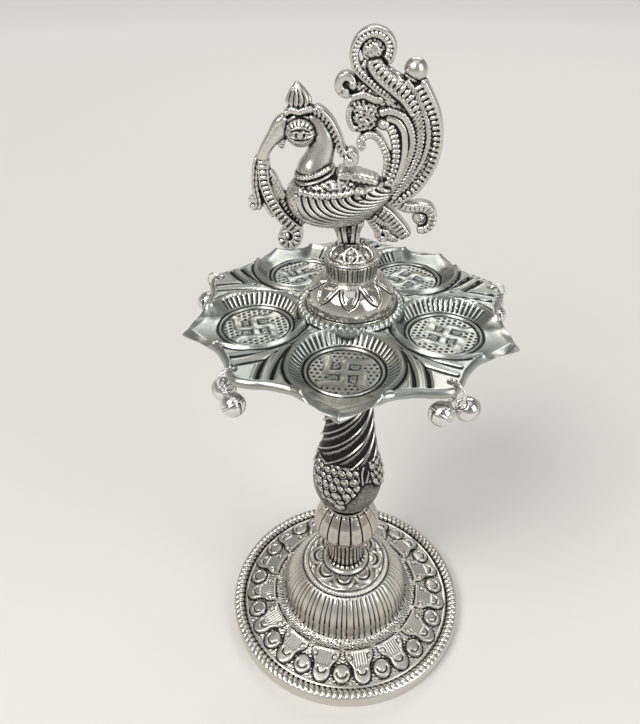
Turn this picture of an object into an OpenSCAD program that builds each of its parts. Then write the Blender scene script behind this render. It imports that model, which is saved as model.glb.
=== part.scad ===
// Standing oil lamp with five wick cups, a peacock finial and paired rattle bells.
// Millimetres, +Z up, origin on the table under the middle of the base.
// The front wick spout points to -Y and the peacock looks to -X.

/* [Base] */
// Radius of the base at its rim
base_r = 43; // [42:0.5:45]
// Height of the seat that the stem stands on
base_h = 27; // [26.5:0.25:28]
// Wall of the hollow base casting
base_wall = 2.4; // [2:0.1:2.8]
// Number of groups of one wide and two narrow reeds round the dome
reed_groups = 22; // [20:1:24]
// Number of large lotus petals round the foot of the dome
base_petals = 15; // [14:1:16]

/* [Stem] */
// Height of the petalled collar under the baluster
foot_h = 30; // [29:0.5:31]
// Height of the baluster
baluster_h = 72; // [70:0.5:74]
// Largest radius of the baluster
baluster_r = 11.4; // [11:0.1:11.8]
// Number of petals round the collar
collar_petals = 16; // [14:1:18]
// Number of leaf edges that wind up the baluster's neck
neck_leaves = 7; // [6:1:8]
// Number of grape bunches round the baluster
grape_bunches = 3; // [2:1:3]

/* [Tray] */
// Distance from the axis to the tip of a wick spout
tip_r = 46; // [45.5:0.25:47]
// Distance from the axis to the middle of a shell lobe's edge
lobe_r = 44; // [43.5:0.25:44.5]
// Distance from the axis to a cup's centre
cup_ring_r = 27; // [26.75:0.25:27.5]
// Radius of a cup at its lip
cup_r = 13.4; // [13:0.1:13.6]
// Radius of a cup's floor
cup_floor_r = 9.75; // [9:0.25:10]
// Depth of a cup from the top of its lip
cup_depth = 3.6; // [3.2:0.1:3.8]
// Thickness of the plate between the cups
plate_t = 2.2; // [2:0.1:2.3]

/* [Finial] */
// Height of the polished dome on the tray
dome_h = 9; // [8.5:0.25:10]
// Height of the fluted collar under the peacock
collar_h = 6; // [5.5:0.25:7]
// Number of flutes round that collar
collar_flutes = 22; // [18:1:26]
// Half thickness of the peacock's tail plumes
plume_t = 2.6; // [2.2:0.1:3]
// Half width of the peacock's body
bird_half_w = 7.2; // [6.5:0.1:8]

/* [Bells] */
// Outside radius of a rattle bell
bell_r = 3.2; // [3:0.05:3.25]
// Wall of a bell
bell_wall = 0.4; // [0.3:0.05:0.5]
// Radius of the loose pellet in a bell
pellet_r = 1; // [0.8:0.05:1.2]
// Mean radius of a jump ring
ring_r = 2.5; // [2.45:0.05:2.6]

/* [Fasteners] */
// Radius of the tie rod that clamps the stack
rod_r = 2; // [1.8:0.05:2.1]
// Width of the nut across its flats
nut_af = 7; // [6.5:0.1:8]

/* [Hidden] */
$fn = 96;
cups = 5;
cup_step = 360 / cups;
front = -90;
bore_r = rod_r + 0.15;

// Levels up the stack
foot_z = base_h;
baluster_z = foot_z + foot_h;
tray_under_z = baluster_z + baluster_h;
plate_z = tray_under_z + 5.5;
hub_z = plate_z + 0.5;
collar_z = hub_z + dome_h;
bird_z = collar_z + collar_h;

// Base
rope_r = 2;
rope_z = 4.4;
wall_r = base_r - 0.4;
dome_centre = [7.4, 11.6];
dome_arc_r = 15.1;
dome_top_angle = 58;
bead_ring_r = 15;
foot_ring_w = 2.6;
ceiling_z = base_h - 3;
petal_turn = 13.6;
petal_tip_r = 3;
petal_tip_at = 34.6;
petal_root_half_w = 4.6;
bud_r = 2.6;
bud_at = 34.4;
petal_rise = 0.7;
band_in = [27, 8.2];
band_out = [38.4, 5];
reed_w = 0.55;
reed_depth = 0.5;
narrow_reed = 0.21;

// Petalled collar of the stem
petal_gap_w = 0.9;
petal_gap_depth = 0.7;

// Baluster: height above its foot and radius to the top of its relief
baluster_line = [
    [2.2, 8.3], [5, 10.2], [10, baluster_r], [16, baluster_r - 0.3], [24, 9.6], [33, 8.2], [50, 6.7], [64, 5.7], [67, 6.3]
];
leaf_rise = 0.6;
leaf_low = 23;
leaf_high = 63.4;
leaf_bury = 0.85;
leaf_twist = 8.75;
leaf_half_turn = 11;
leaf_start = -186;
bunch_turn = -105;
bunch_z = 8.3;
grape_r = 1.7;
grape_sink = 1.1;
grape_step = 16.5;
grape_row = 3.5;

// Tray
leaf_r = 15.9;
lobe_centre_r = 28.2;
lobe_circle_r = lobe_r - lobe_centre_r;
lip_bead_r = 0.7;
lip_r = cup_r + 0.5;
lip_z = plate_z + 0.2;
cup_floor_z = lip_z + lip_bead_r - cup_depth;
floor_dish = 0.5;
floor_t = 1.6;
hub_r = 12.6;
hub_ring_r = 13.3;
hub_bead_r = 1.1;
nose_t = 1.3;

// Polished dome: an arc that rises straight from its foot and leans in to its top
hub_foot_r = 12.1;
hub_top_r = 7.2;
hub_wall = 2.2;
hub_step = 1.4;
hub_arc_h = dome_h - hub_step - 0.4;
hub_arc_x = (pow(hub_foot_r, 2) - pow(hub_top_r, 2) - pow(hub_arc_h, 2)) / (2 * (hub_foot_r - hub_top_r));
hub_arc_end = atan2(hub_arc_h, hub_top_r - hub_arc_x);

// Shell lobes
flute_w = 0.8;
flute_depth = 0.6;
// Each groove is an arc of this radius, and its crown lies this far from the middle of the cup's spoke
flute_arcs = [[40, 16.7], [30, 20.1]];
flute_crown_r = 34;
flute_end_r = 38.8;
floor_ring_r = 9;
floor_ring_back = 1.2;

// Bell rings: each hangs through a hole just inside a lobe's edge, drilled a little off the lobe's middle
ring_wire_r = 0.35;
ring_drop = 0.75;
bridge_half = 0.75;
hole_r = 1.25;
hole_turn = [2, 0, 0, 0, -4];
bridge_r = lobe_r - bridge_half;
bridge_z = plate_z - plate_t / 2;
eye_r = 0.95;
eye_wire_r = 0.28;
eye_offset = 1.1;
eye_neck_r = 0.5;
hang_z = bridge_z - ring_drop - sqrt(pow(ring_r, 2) - pow(eye_offset, 2));
bell_arm = 4.6;
bell_gap = 0.3;
bell_splay = asin(sqrt(pow(bell_r + bell_gap / 2, 2) - pow(eye_offset, 2)) / bell_arm);
bell_slit_w = 0.8;
pellet_clear = 0.1;
pellet_drop = bell_r - bell_wall - pellet_r - pellet_clear;

// Fasteners
washer_r = 6;
washer_t = 1.2;
nut_t = 3.2;
rod_tail = 1.6;
rod_grip = 3;

// Points of an arc round centre c, from angle a0 to angle a1
function arc(c, r, a0, a1, steps) =
    [for (i = [0:steps]) let (a = a0 + (a1 - a0) * i / steps) c + r * [cos(a), sin(a)]];

// One span of a smooth curve that passes through b and c
function span(a, b, c, d, t) =
    0.5 * (2 * b + (c - a) * t + (2 * a - 5 * b + 4 * c - d) * t * t + (3 * b - a - 3 * c + d) * t * t * t);

// Smooth curve through every point of p, with a number of steps to each span
function smooth(p, steps) =
    let (last = len(p) - 1)
    [
        for (i = [0:last - 1]) for (j = [0:steps - 1])
            span(p[max(i - 1, 0)], p[i], p[i + 1], p[min(i + 2, last)], j / steps),
        p[last]
    ];

// Turns a profile of radius and height into a solid with a bore through it
module turned(profile, z0, z1) {
    difference() {
        rotate_extrude() polygon(concat([[0, z0]], profile, [[0, z1]]));
        translate([0, 0, z0 - 1]) cylinder(r = bore_r, h = z1 - z0 + 2);
    }
}

// Grooves round the axis, each a thin slab with the given outline of radius and height
module grooves(count, width, outline) {
    for (i = [0:count - 1])
        rotate([0, 0, (i + 0.5) * 360 / count])
            rotate([90, 0, 0])
                linear_extrude(height = width, center = true)
                    polygon(outline);
}

module base_shell() {
    outside = concat(
        [[0, base_h], [7.6, base_h], [8.4, base_h - 0.8], [bead_ring_r - 1, base_h - 2.2]],
        arc(dome_centre, dome_arc_r, dome_top_angle, 0, 8),
        [[23, 10.6], [24.4, 9.2], band_in, band_out, [39, rope_z], [wall_r, rope_z]],
        [[wall_r, 0.6], [wall_r - 0.6, 0], [base_r - foot_ring_w, 0]]
    );
    inside = concat(
        [[base_r - foot_ring_w, 2], [26, 5.4], [21.6, 8]],
        arc(dome_centre, dome_arc_r - base_wall, 0, dome_top_angle, 6),
        [[9, ceiling_z], [0, ceiling_z]]
    );
    rotate_extrude() polygon(concat(outside, inside));
    rotate_extrude() translate([base_r - rope_r, rope_z]) circle(r = rope_r, $fn = 32);
    rotate_extrude() translate([bead_ring_r, base_h - 2.4]) circle(r = 0.9, $fn = 24);
}

// Raises a plan from the sloping band of the base
module on_band() {
    intersection() {
        rotate_extrude()
            polygon([
                band_in - [0, 1],
                band_out - [0, 1],
                band_out + [0, petal_rise],
                band_in + [0, petal_rise]
            ]);
        linear_extrude(height = base_h) children();
    }
}

// Plan of a lotus petal, wide at its root on the dome's side, and of the round bud beside it
module petal_plan() {
    translate([petal_tip_at, 0]) circle(r = petal_tip_r, $fn = 48);
    polygon([
        [band_in[0] + 0.6, -petal_root_half_w], [petal_tip_at, -petal_tip_r + 0.05],
        [petal_tip_at, petal_tip_r - 0.05], [band_in[0] + 0.6, petal_root_half_w]
    ]);
    rotate(180 / base_petals) translate([bud_at, 0]) circle(r = bud_r, $fn = 48);
}

module base() color([0.62, 0.61, 0.58]) {
    difference() {
        base_shell();
        translate([0, 0, ceiling_z - 1]) cylinder(r = bore_r, h = 6);
        for (share = [-narrow_reed, narrow_reed, 0.5])
            rotate([0, 0, share * 360 / reed_groups])
                grooves(
                    reed_groups, reed_w,
                    concat(
                        arc(dome_centre, dome_arc_r + 1, 52, 8, 5),
                        arc(dome_centre, dome_arc_r - reed_depth, 8, 52, 5)
                    )
                );
    }
    for (i = [0:base_petals - 1])
        on_band() rotate(front + petal_turn + i * 360 / base_petals) petal_plan();
}

module stem_foot() color([0.7, 0.69, 0.66]) {
    top_z = foot_z + foot_h;
    neck = [[7.4, foot_z], [7.4, foot_z + 1.2], [6.4, foot_z + 2], [5.9, foot_z + 5], [5.9, foot_z + 9]];
    bell = smooth([[6.6, foot_z + 12], [9.2, foot_z + 15], [11, foot_z + 18], [11.2, foot_z + 20.5],
        [10.2, foot_z + 24.5], [8.4, foot_z + 27.6], [7, top_z]], 3);
    petal_edge = [for (p = bell) if (p[1] > foot_z + 14) p - [petal_gap_depth, 0]];
    difference() {
        turned(concat(neck, bell), foot_z, top_z);
        grooves(collar_petals, petal_gap_w, concat(petal_edge, [[14, top_z], [14, petal_edge[0][1]]]));
        grooves(collar_petals, 0.6, [[5.4, foot_z + 3], [8, foot_z + 3], [8, foot_z + 10], [5.4, foot_z + 10]]);
    }
}

// Leaf edge that winds up the baluster's neck, a ridge that starts at the given angle and dies out at both ends
module leaf_edge(turn) {
    steps = 30;
    points = [
        for (i = [0:steps], side = [-1, 0, 1])
            let (
                h = leaf_low + (leaf_high - leaf_low) * i / steps,
                a = turn + leaf_twist * (h - leaf_low) + side * leaf_half_turn,
                crest = lookup(h, baluster_line) - leaf_bury * max(0, 1 - i / 4, 1 - (steps - i) / 4),
                r = side == 0 ? crest : crest - leaf_rise - 0.5
            )
            [r * cos(a), r * sin(a), baluster_z + h]
    ];
    walls = [
        for (i = [0:steps - 1], s = [0:2])
            let (here = i * 3 + s, next = i * 3 + (s + 1) % 3)
            [here, here + 3, next + 3, next]
    ];
    last = steps * 3;
    polyhedron(points = points, faces = concat(walls, [[0, 1, 2], [last + 2, last + 1, last]]));
}

// Bunch of grapes that hangs down the baluster's belly to a single grape
module grape_bunch() {
    for (row = [0:4], i = [0:row]) {
        h = bunch_z + row * grape_row;
        rotate([0, 0, (i - row / 2) * grape_step])
            translate([lookup(h, baluster_line) - grape_sink, 0, baluster_z + h])
                sphere(r = grape_r, $fn = 24);
    }
}

module stem_baluster() color([0.6, 0.59, 0.56]) {
    top_z = baluster_z + baluster_h;
    carved = [for (p = baluster_line) [p[1] - (p[0] > leaf_low && p[0] < leaf_high + 1 ? leaf_rise : 0), baluster_z + p[0]]];
    turned(
        concat(
            [[6.6, baluster_z], [6.9, baluster_z + 0.7]],
            smooth(concat(carved, [[9.2, top_z - 1.6]]), 3),
            [[9.5, top_z - 1.2], [9.5, top_z]]
        ),
        baluster_z, top_z
    );
    for (i = [0:neck_leaves - 1]) leaf_edge(leaf_start + i * 360 / neck_leaves);
    for (i = [0:grape_bunches - 1]) rotate([0, 0, bunch_turn + i * 360 / grape_bunches]) grape_bunch();
}

// Plan of the tray: a round leaf and a pointed spout at each cup, a shell lobe between cups
module tray_plan() {
    circle(r = cup_ring_r);
    for (k = [0:cups - 1])
        rotate(front + k * cup_step) {
            translate([cup_ring_r, 0]) circle(r = leaf_r);
            polygon([[tip_r, 0], [tip_r - 4.6, 6], [tip_r - 9, 7], [tip_r - 9, -7], [tip_r - 4.6, -6]]);
            rotate(cup_step / 2) translate([lobe_centre_r, 0]) circle(r = lobe_circle_r);
        }
}

// What a cup adds to the plate: its dished underside, its lip and the nose under its spout
module cup_solid() {
    translate([cup_ring_r, 0, 0]) {
        rotate_extrude()
            polygon([
                [0, cup_floor_z - floor_t], [cup_floor_r, cup_floor_z - floor_t],
                [cup_r + 1.2, plate_z - plate_t], [cup_r + 1.2, plate_z - 1], [0, plate_z - 1]
            ]);
        rotate_extrude() translate([lip_r, lip_z]) circle(r = lip_bead_r, $fn = 24);
    }
    translate([0, 0, plate_z - plate_t - nose_t])
        linear_extrude(height = nose_t + 1)
            polygon([[tip_r, 0], [tip_r - 8, 6], [tip_r - 12, 0], [tip_r - 8, -6]]);
}

// What a cup takes away: the dished bowl and the wick channel that runs out to the tip
module cup_hollow() {
    translate([cup_ring_r, 0, 0])
        rotate_extrude()
            polygon([
                [0, cup_floor_z], [cup_floor_r, cup_floor_z + floor_dish],
                [cup_r, lip_z + lip_bead_r], [cup_r, lip_z + 2], [0, lip_z + 2]
            ]);
    translate([cup_ring_r + cup_floor_r, 0, plate_z - 1.9])
        rotate([0, -6, 0])
            rotate([90, 0, 90])
                linear_extrude(height = 12)
                    polygon([[0, 0], [-5, 3.2], [5, 3.2]]);
}

// Grooves of the shell lobes on both sides of a cup, which curve out from the gap between two cups
module shell_grooves() {
    half = cup_step / 2 - 0.6;
    translate([0, 0, plate_z - flute_depth])
        linear_extrude(height = 2)
            for (side = [0, 1])
                mirror([0, side])
                    intersection() {
                        for (flute = flute_arcs)
                            translate([flute_crown_r, flute[1] - flute[0]])
                                difference() {
                                    circle(r = flute[0] + flute_w / 2);
                                    circle(r = flute[0] - flute_w / 2);
                                }
                        polygon([for (a = [half, 32, 27, 22, 18]) flute_end_r * [cos(a), sin(a)], [20, 10], [17, 10]]);
                    }
}

// Groove that frames the middle of a cup's floor
module floor_ring() {
    translate([cup_ring_r - floor_ring_back, 0, cup_floor_z - 0.3])
        linear_extrude(height = 2)
            difference() {
                circle(r = floor_ring_r);
                circle(r = floor_ring_r - 0.8);
            }
}

module tray() color([0.55, 0.57, 0.56]) {
    difference() {
        union() {
            translate([0, 0, plate_z - plate_t]) linear_extrude(height = plate_t) tray_plan();
            for (k = [0:cups - 1]) rotate([0, 0, front + k * cup_step]) cup_solid();
            translate([0, 0, tray_under_z]) cylinder(r = hub_r, h = hub_z - tray_under_z);
            rotate_extrude() translate([hub_ring_r, hub_z]) circle(r = hub_bead_r, $fn = 32);
        }
        for (k = [0:cups - 1])
            rotate([0, 0, front + k * cup_step]) {
                cup_hollow();
                shell_grooves();
                floor_ring();
                rotate([0, 0, cup_step / 2 + hole_turn[k]])
                    translate([bridge_r - bridge_half - hole_r, 0, plate_z - plate_t - 1])
                        cylinder(r = hole_r, h = plate_t + 2, $fn = 32);
            }
        translate([0, 0, tray_under_z - 1]) cylinder(r = bore_r, h = 9);
    }
}

module hub_dome() color([0.74, 0.72, 0.68]) {
    outside = concat(
        [[hub_foot_r, hub_z]],
        arc([hub_arc_x, hub_z + hub_step], hub_foot_r - hub_arc_x, 0, hub_arc_end, 8),
        [[hub_top_r - 0.4, collar_z]]
    );
    inside = concat(
        [[0, hub_z - 1], [hub_foot_r - hub_wall, hub_z - 1]],
        arc([hub_arc_x, hub_z + 0.8], hub_foot_r - hub_wall - hub_arc_x, 0, 80, 6),
        [[0, hub_z + 0.8 + hub_foot_r - hub_wall - hub_arc_x]]
    );
    difference() {
        turned(outside, hub_z, collar_z);
        rotate_extrude() polygon(inside);
    }
}

module finial_collar() color([0.72, 0.7, 0.66]) {
    top_z = collar_z + collar_h;
    difference() {
        turned(
            [[6.5, collar_z], [6.9, collar_z + 0.8], [7.4, top_z - 1], [7.4, top_z - 0.4], [6.9, top_z]],
            collar_z, top_z
        );
        grooves(collar_flutes, 0.5, [[6.5, collar_z + 1], [9, collar_z + 1], [9, top_z - 1], [6.9, top_z - 1]]);
    }
}

// Solid swept along a line in the XZ plane, with an oval section.
// Each point of the line is [x, z, half width in the plane, half thickness across it].
module strand(line, steps = 2, sides = 8) {
    p = smooth(line, steps);
    last = len(p) - 1;
    rings = [
        for (i = [0:last])
            let (
                ahead = p[min(i + 1, last)] - p[max(i - 1, 0)],
                along = [ahead[0], ahead[1]] / norm([ahead[0], ahead[1]])
            )
            for (s = [0:sides - 1])
                let (a = 360 * s / sides, w = p[i][2] * cos(a))
                [p[i][0] - along[1] * w, p[i][3] * sin(a), p[i][1] + along[0] * w]
    ];
    walls = [
        for (i = [0:last - 1], s = [0:sides - 1])
            let (a = i * sides + s, b = i * sides + (s + 1) % sides)
            [a, b, b + sides, a + sides]
    ];
    caps = [[for (s = [sides - 1:-1:0]) s], [for (s = [0:sides - 1]) last * sides + s]];
    polyhedron(points = rings, faces = concat(walls, caps));
}

// Points of a scroll round [x, z] that winds in from radius r, with the strand's half width and thickness.
// wind is the share of its radius that it loses on the way in.
function scroll(c, r, a0, turns, w, t, wind = 0.75) =
    [
        for (i = [0:10])
            let (a = a0 + turns * 36 * i, d = (r - w) * (1 - wind * i / 10))
            [c[0] + d * cos(a), c[1] + d * sin(a), w * (1 - 0.3 * i / 10), t]
    ];

module bird_body() {
    hull() {
        translate([-9.4, 0, 166]) scale([1, 0.9, 0.95]) sphere(r = 6.8, $fn = 24);
        translate([-3, 0, 165.2]) scale([1, bird_half_w / 7.3, 1]) sphere(r = 7.3, $fn = 24);
        translate([7, 0, 168.3]) sphere(r = 2.8, $fn = 16);
    }
    hull() {
        translate([-9.8, 0, 170.5]) scale([1, 0.9, 1]) sphere(r = 5, $fn = 20);
        translate([-8.2, 0, 175]) scale([1, 0.9, 1]) sphere(r = 3.8, $fn = 20);
    }
    hull() {
        translate([-8.2, 0, 175]) scale([1, 0.9, 1]) sphere(r = 3.8, $fn = 20);
        translate([-8, 0, 179.5]) scale([1, 0.9, 1]) sphere(r = 3.6, $fn = 20);
    }
    hull() {
        translate([-8, 0, 179.5]) scale([1, 0.9, 1]) sphere(r = 3.6, $fn = 20);
        translate([-12.8, 0, 181.8]) sphere(r = 4.4, $fn = 24);
    }
    hull() {
        translate([-12.8, 0, 187]) scale([1, 0.75, 1]) sphere(r = 2.9, $fn = 16);
        translate([-12.8, 0, 184]) sphere(r = 2.6, $fn = 16);
    }
    hull() {
        translate([-12.8, 0, 187.4]) scale([1, 0.75, 1]) sphere(r = 2.7, $fn = 16);
        translate([-13.2, 0, 192]) sphere(r = 0.5, $fn = 12);
    }
    for (leg = [[-3.2, -1.9], [0.9, 0.9]])
        hull() {
            translate([leg[0], 0, 160]) scale([1, 0.8, 1]) sphere(r = 2.3, $fn = 16);
            translate([leg[1], 0, bird_z + 2.2]) sphere(r = 1.8, $fn = 16);
        }
}

module bird_front() {
    strand([[-14, 183.2, 2.8, 3], [-17.4, 181.6, 2.4, 2.3], [-20.2, 178.3, 2.4, 2], [-22.2, 174.6, 2.2, 1.9]]);
    strand(concat(
        [[-21.6, 176, 1.3, 1.9], [-22.1, 170.7, 1.6, 2], [-21.4, 166.4, 1.7, 2], [-19.5, 162, 1.7, 2],
            [-17.2, 158.6, 1.6, 2], [-14.6, 156.6, 1.4, 2]],
        scroll([-16.6, 154.9], 3.9, -5, -0.9, 1.3, 2)
    ));
    strand(concat(
        [[-22.6, 175, 1, 1.6], [-24.2, 170, 1, 1.6], [-24.9, 166, 1, 1.6]],
        scroll([-24, 162.9], 2, 150, 0.9, 0.9, 1.6)
    ));
    // Leaf and thin web between the garland and the breast
    strand([[-20, 171, 0.6, 1.3], [-18.4, 167.8, 1, 1.4], [-16.6, 164.2, 1.8, 1.4], [-14.6, 161, 2.2, 1.4], [-12, 158.6, 1.6, 1.4]]);
    strand([[-10.4, 186.2, 0.9, 1.6], [-7, 184.8, 1, 1.6], [-4.7, 181.6, 1, 1.6], [-3.4, 178, 1, 1.6], [-1.6, 175.4, 0.8, 1.4]]);
    strand(scroll([-0.9, 175.4], 2.5, 120, -1.1, 1, 2));
}

module bird_tail() {
    thin = plume_t - 0.5;
    strand(concat(
        [[7, 168, 1.4, plume_t], [9.6, 172.6, 1.4, plume_t], [10, 177.4, 1.3, plume_t], [9, 181.6, 1.2, plume_t]],
        scroll([6.6, 182.6], 2.3, 10, 0.7, 0.9, plume_t)
    ));
    strand([[8, 167.4, 1, thin], [12, 172.8, 1.3, thin], [13.3, 178.4, 1.4, thin], [12.3, 183.8, 1.4, thin],
        [9.7, 187, 1.4, thin], [6.6, 187.4, 1.3, thin], [4.7, 185.2, 1, thin]]);
    strand([[8.8, 166, 1, plume_t], [14, 172.7, 1.3, plume_t], [15.4, 178.4, 1.4, plume_t], [14.7, 183.2, 1.5, plume_t],
        [12.2, 188.5, 1.7, plume_t], [8.3, 193.2, 1.8, plume_t], [3.4, 197.8, 1.7, plume_t]]);
    strand([[9.2, 165.4, 1.2, thin], [16.6, 171.6, 1.6, thin], [19, 177.2, 1.6, thin], [19, 182, 1.6, thin],
        [17, 186.8, 1.6, thin], [14.6, 190.8, 1.7, thin], [13.2, 193.4, 1.8, thin]]);
    translate([13.1, 0, 194.8]) sphere(r = 2.7, $fn = 16);
    // The fill between the plumes, set back from their faces
    strand([[8.5, 167, 1.6, 1.6], [14.2, 173.4, 3, 1.6], [16, 179.4, 3.4, 1.6], [14, 186, 3.6, 1.6], [9, 190.6, 3.4, 1.6],
        [4.5, 194, 3, 1.6]]);
    strand(concat(
        [[6.5, 190.4, 1.1, thin], [2.8, 192.6, 1.2, thin], [-0.2, 196, 1.3, thin]],
        scroll([3.5, 199.4], 4.9, 200, -0.75, 1.6, thin, 0.1)
    ));
    translate([3.4, 0, 199.2]) scale([1, 0.5, 1]) sphere(r = 3.4, $fn = 16);
    strand(scroll([-1.7, 192.2], 3.2, -60, -1.1, 1.2, thin));
    translate([2.4, 0, 185.6]) scale([1, 0.55, 1.25]) sphere(r = 3.6, $fn = 16);
    strand([[-1, 189.6, 1.1, thin], [2.6, 189.4, 1.3, thin], [6.6, 188.6, 1, thin]]);
    strand(concat(
        [[8.4, 170.6, 1, thin], [8.2, 176, 1, thin]],
        scroll([4.4, 178.2], 3, 30, 0.55, 1, thin)
    ));
    strand([[4.5, 164.4, 1.4, thin], [9.6, 161, 1.8, thin], [12.4, 158, 1.8, thin], [14, 156, 1.6, thin]]);
    strand(concat([[8.5, 166.2, 1.4, thin], [13, 164, 1.4, thin]], scroll([17.2, 161.4], 2.9, 110, -0.9, 1.2, thin)));
    strand(concat([[3, 162.6, 1.2, thin], [5.4, 159.8, 1.1, thin]], scroll([8.2, 156.6], 2.7, 150, 0.9, 1, thin)));
}

module peacock() color([0.66, 0.65, 0.62]) {
    difference() {
        union() {
            bird_body();
            bird_front();
            bird_tail();
            translate([0, 0, bird_z]) cylinder(r1 = 6.2, r2 = 3.2, h = 3.6, $fn = 32);
        }
        translate([0, 0, bird_z - 1]) cylinder(r = bore_r + 0.1, h = rod_grip + 1, $fn = 32);
        translate([0, 0, bird_z - 10]) cube([40, 40, 20], center = true);
    }
}

module tie_rod() color([0.6, 0.6, 0.6]) {
    low_z = ceiling_z - washer_t - nut_t - rod_tail;
    translate([0, 0, low_z]) cylinder(r = rod_r, h = bird_z + rod_grip - 0.5 - low_z);
}

module base_washer() color([0.68, 0.68, 0.68]) {
    translate([0, 0, ceiling_z - washer_t])
        difference() {
            cylinder(r = washer_r, h = washer_t);
            translate([0, 0, -1]) cylinder(r = bore_r, h = washer_t + 2);
        }
}

module base_nut() color([0.64, 0.64, 0.64]) {
    translate([0, 0, ceiling_z - washer_t - nut_t])
        difference() {
            cylinder(r = nut_af / sqrt(3), h = nut_t, $fn = 6);
            translate([0, 0, -1]) cylinder(r = rod_r + 0.05, h = nut_t + 2);
        }
}

// Places a thing at the bridge of lobe k, with +X pointing out from the axis
module at_bridge(k) {
    rotate([0, 0, front + cup_step * (k + 0.5) + hole_turn[k]]) translate([bridge_r, 0, 0]) children();
}

module ring(k) color([0.75, 0.75, 0.75]) {
    at_bridge(k)
        translate([0, 0, bridge_z - ring_drop])
            rotate([90, 0, 0])
                rotate_extrude() translate([ring_r, 0]) circle(r = ring_wire_r, $fn = 24);
}

// Hangs a thing from the bottom of ring k, splayed to one side (-1 or 1)
module hung(k, side) {
    at_bridge(k)
        translate([side * eye_offset, 0, hang_z])
            rotate([side * bell_splay, 0, 0])
                children();
}

module bell(k, side) color([0.8, 0.8, 0.8]) {
    hung(k, side) {
        rotate([0, 90, 0]) rotate_extrude() translate([eye_r, 0]) circle(r = eye_wire_r, $fn = 24);
        translate([0, 0, -bell_arm])
            difference() {
                union() {
                    sphere(r = bell_r);
                    translate([0, 0, bell_r - 0.5]) cylinder(r = eye_neck_r, h = bell_arm - bell_r - eye_r + 0.5);
                }
                sphere(r = bell_r - bell_wall);
                translate([0, 0, -bell_r]) cube([bell_slit_w, 3 * bell_r, 2 * bell_r - 1.6], center = true);
            }
    }
}

// The pellet lies at the lowest point of its bell, whichever way the bell leans
module pellet(k, side) color([0.5, 0.5, 0.5]) {
    at_bridge(k)
        translate([side * eye_offset, side * bell_arm * sin(bell_splay), hang_z - bell_arm * cos(bell_splay) - pellet_drop])
            sphere(r = pellet_r, $fn = 32);
}

base();
stem_foot();
stem_baluster();
tray();
hub_dome();
finial_collar();
peacock();
tie_rod();
base_washer();
base_nut();
for (k = [0:cups - 1]) {
    ring(k);
    bell(k, -1);
    bell(k, 1);
    pellet(k, -1);
    pellet(k, 1);
}
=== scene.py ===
import math

import bpy
import numpy as np
from mathutils import Matrix, Vector


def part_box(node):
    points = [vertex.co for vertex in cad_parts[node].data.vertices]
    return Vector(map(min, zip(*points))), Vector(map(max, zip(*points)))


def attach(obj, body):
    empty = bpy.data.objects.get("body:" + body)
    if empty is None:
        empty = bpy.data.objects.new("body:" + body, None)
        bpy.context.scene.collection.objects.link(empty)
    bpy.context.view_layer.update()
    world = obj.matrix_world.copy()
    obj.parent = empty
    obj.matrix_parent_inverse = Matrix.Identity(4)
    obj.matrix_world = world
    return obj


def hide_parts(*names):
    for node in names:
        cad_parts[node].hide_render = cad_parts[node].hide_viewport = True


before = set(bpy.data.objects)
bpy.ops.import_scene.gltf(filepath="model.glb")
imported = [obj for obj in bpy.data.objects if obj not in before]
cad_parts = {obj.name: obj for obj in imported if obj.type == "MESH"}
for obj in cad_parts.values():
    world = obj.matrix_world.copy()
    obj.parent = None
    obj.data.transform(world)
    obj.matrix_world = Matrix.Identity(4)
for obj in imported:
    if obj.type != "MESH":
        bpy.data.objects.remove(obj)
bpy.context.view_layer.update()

# Shapes are worked out in millimetres and become metres when a mesh is made.
MM = 0.001
PI = math.pi


# Numbers and curves

def smoothstep(low, high, x):
    t = np.clip((x - low) / (high - low), 0.0, 1.0)
    return t * t * (3 - 2 * t)


def between(low, high, soft, x):
    """1 between low and high, falling to 0 over soft on either side."""
    return smoothstep(low - soft, low + soft, x) * (1 - smoothstep(high - soft, high + soft, x))


def ridge(distance, half_width):
    """A rounded ridge where distance is near 0."""
    return np.exp(-(distance / half_width) ** 2)


def dome(distance, radius):
    """A round button of the given radius, 1 at its middle."""
    return np.sqrt(np.clip(1 - (distance / radius) ** 2, 0, 1))


def nearest(value, pitch):
    """Distance from the nearest multiple of pitch."""
    return (value + pitch / 2) % pitch - pitch / 2


def nearest_angle(theta, count, phase=0.0):
    """Angle from the nearest of count equally spaced directions."""
    return nearest(theta - phase, 2 * PI / count)


def smooth_curve(points, steps):
    """Smooth curve through every point, with a number of steps to each span."""
    p = np.asarray(points, float)
    p = np.vstack([p[:1], p, p[-1:]])
    t = (np.arange(steps) / steps)[:, None]
    spans = []
    for a, b, c, d in zip(p, p[1:], p[2:], p[3:]):
        spans.append(0.5 * (2 * b + (c - a) * t + (2 * a - 5 * b + 4 * c - d) * t**2
                            + (3 * b - a - 3 * c + d) * t**3))
    return np.vstack(spans + [p[-1:]])


def arc(centre, radius, start, end, steps):
    """Points of an arc, angles in degrees."""
    a = np.radians(np.linspace(start, end, steps + 1))
    return np.stack([centre[0] + radius * np.cos(a), centre[1] + radius * np.sin(a)], 1)


def resample(points, step):
    """The same line with points about one step apart."""
    p = np.asarray(points, float)
    length = np.concatenate([[0], np.cumsum(np.linalg.norm(np.diff(p, axis=0), axis=1))])
    at = np.linspace(0, length[-1], max(2, int(round(length[-1] / step)) + 1))
    return np.stack([np.interp(at, length, p[:, i]) for i in range(p.shape[1])], 1)


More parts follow.
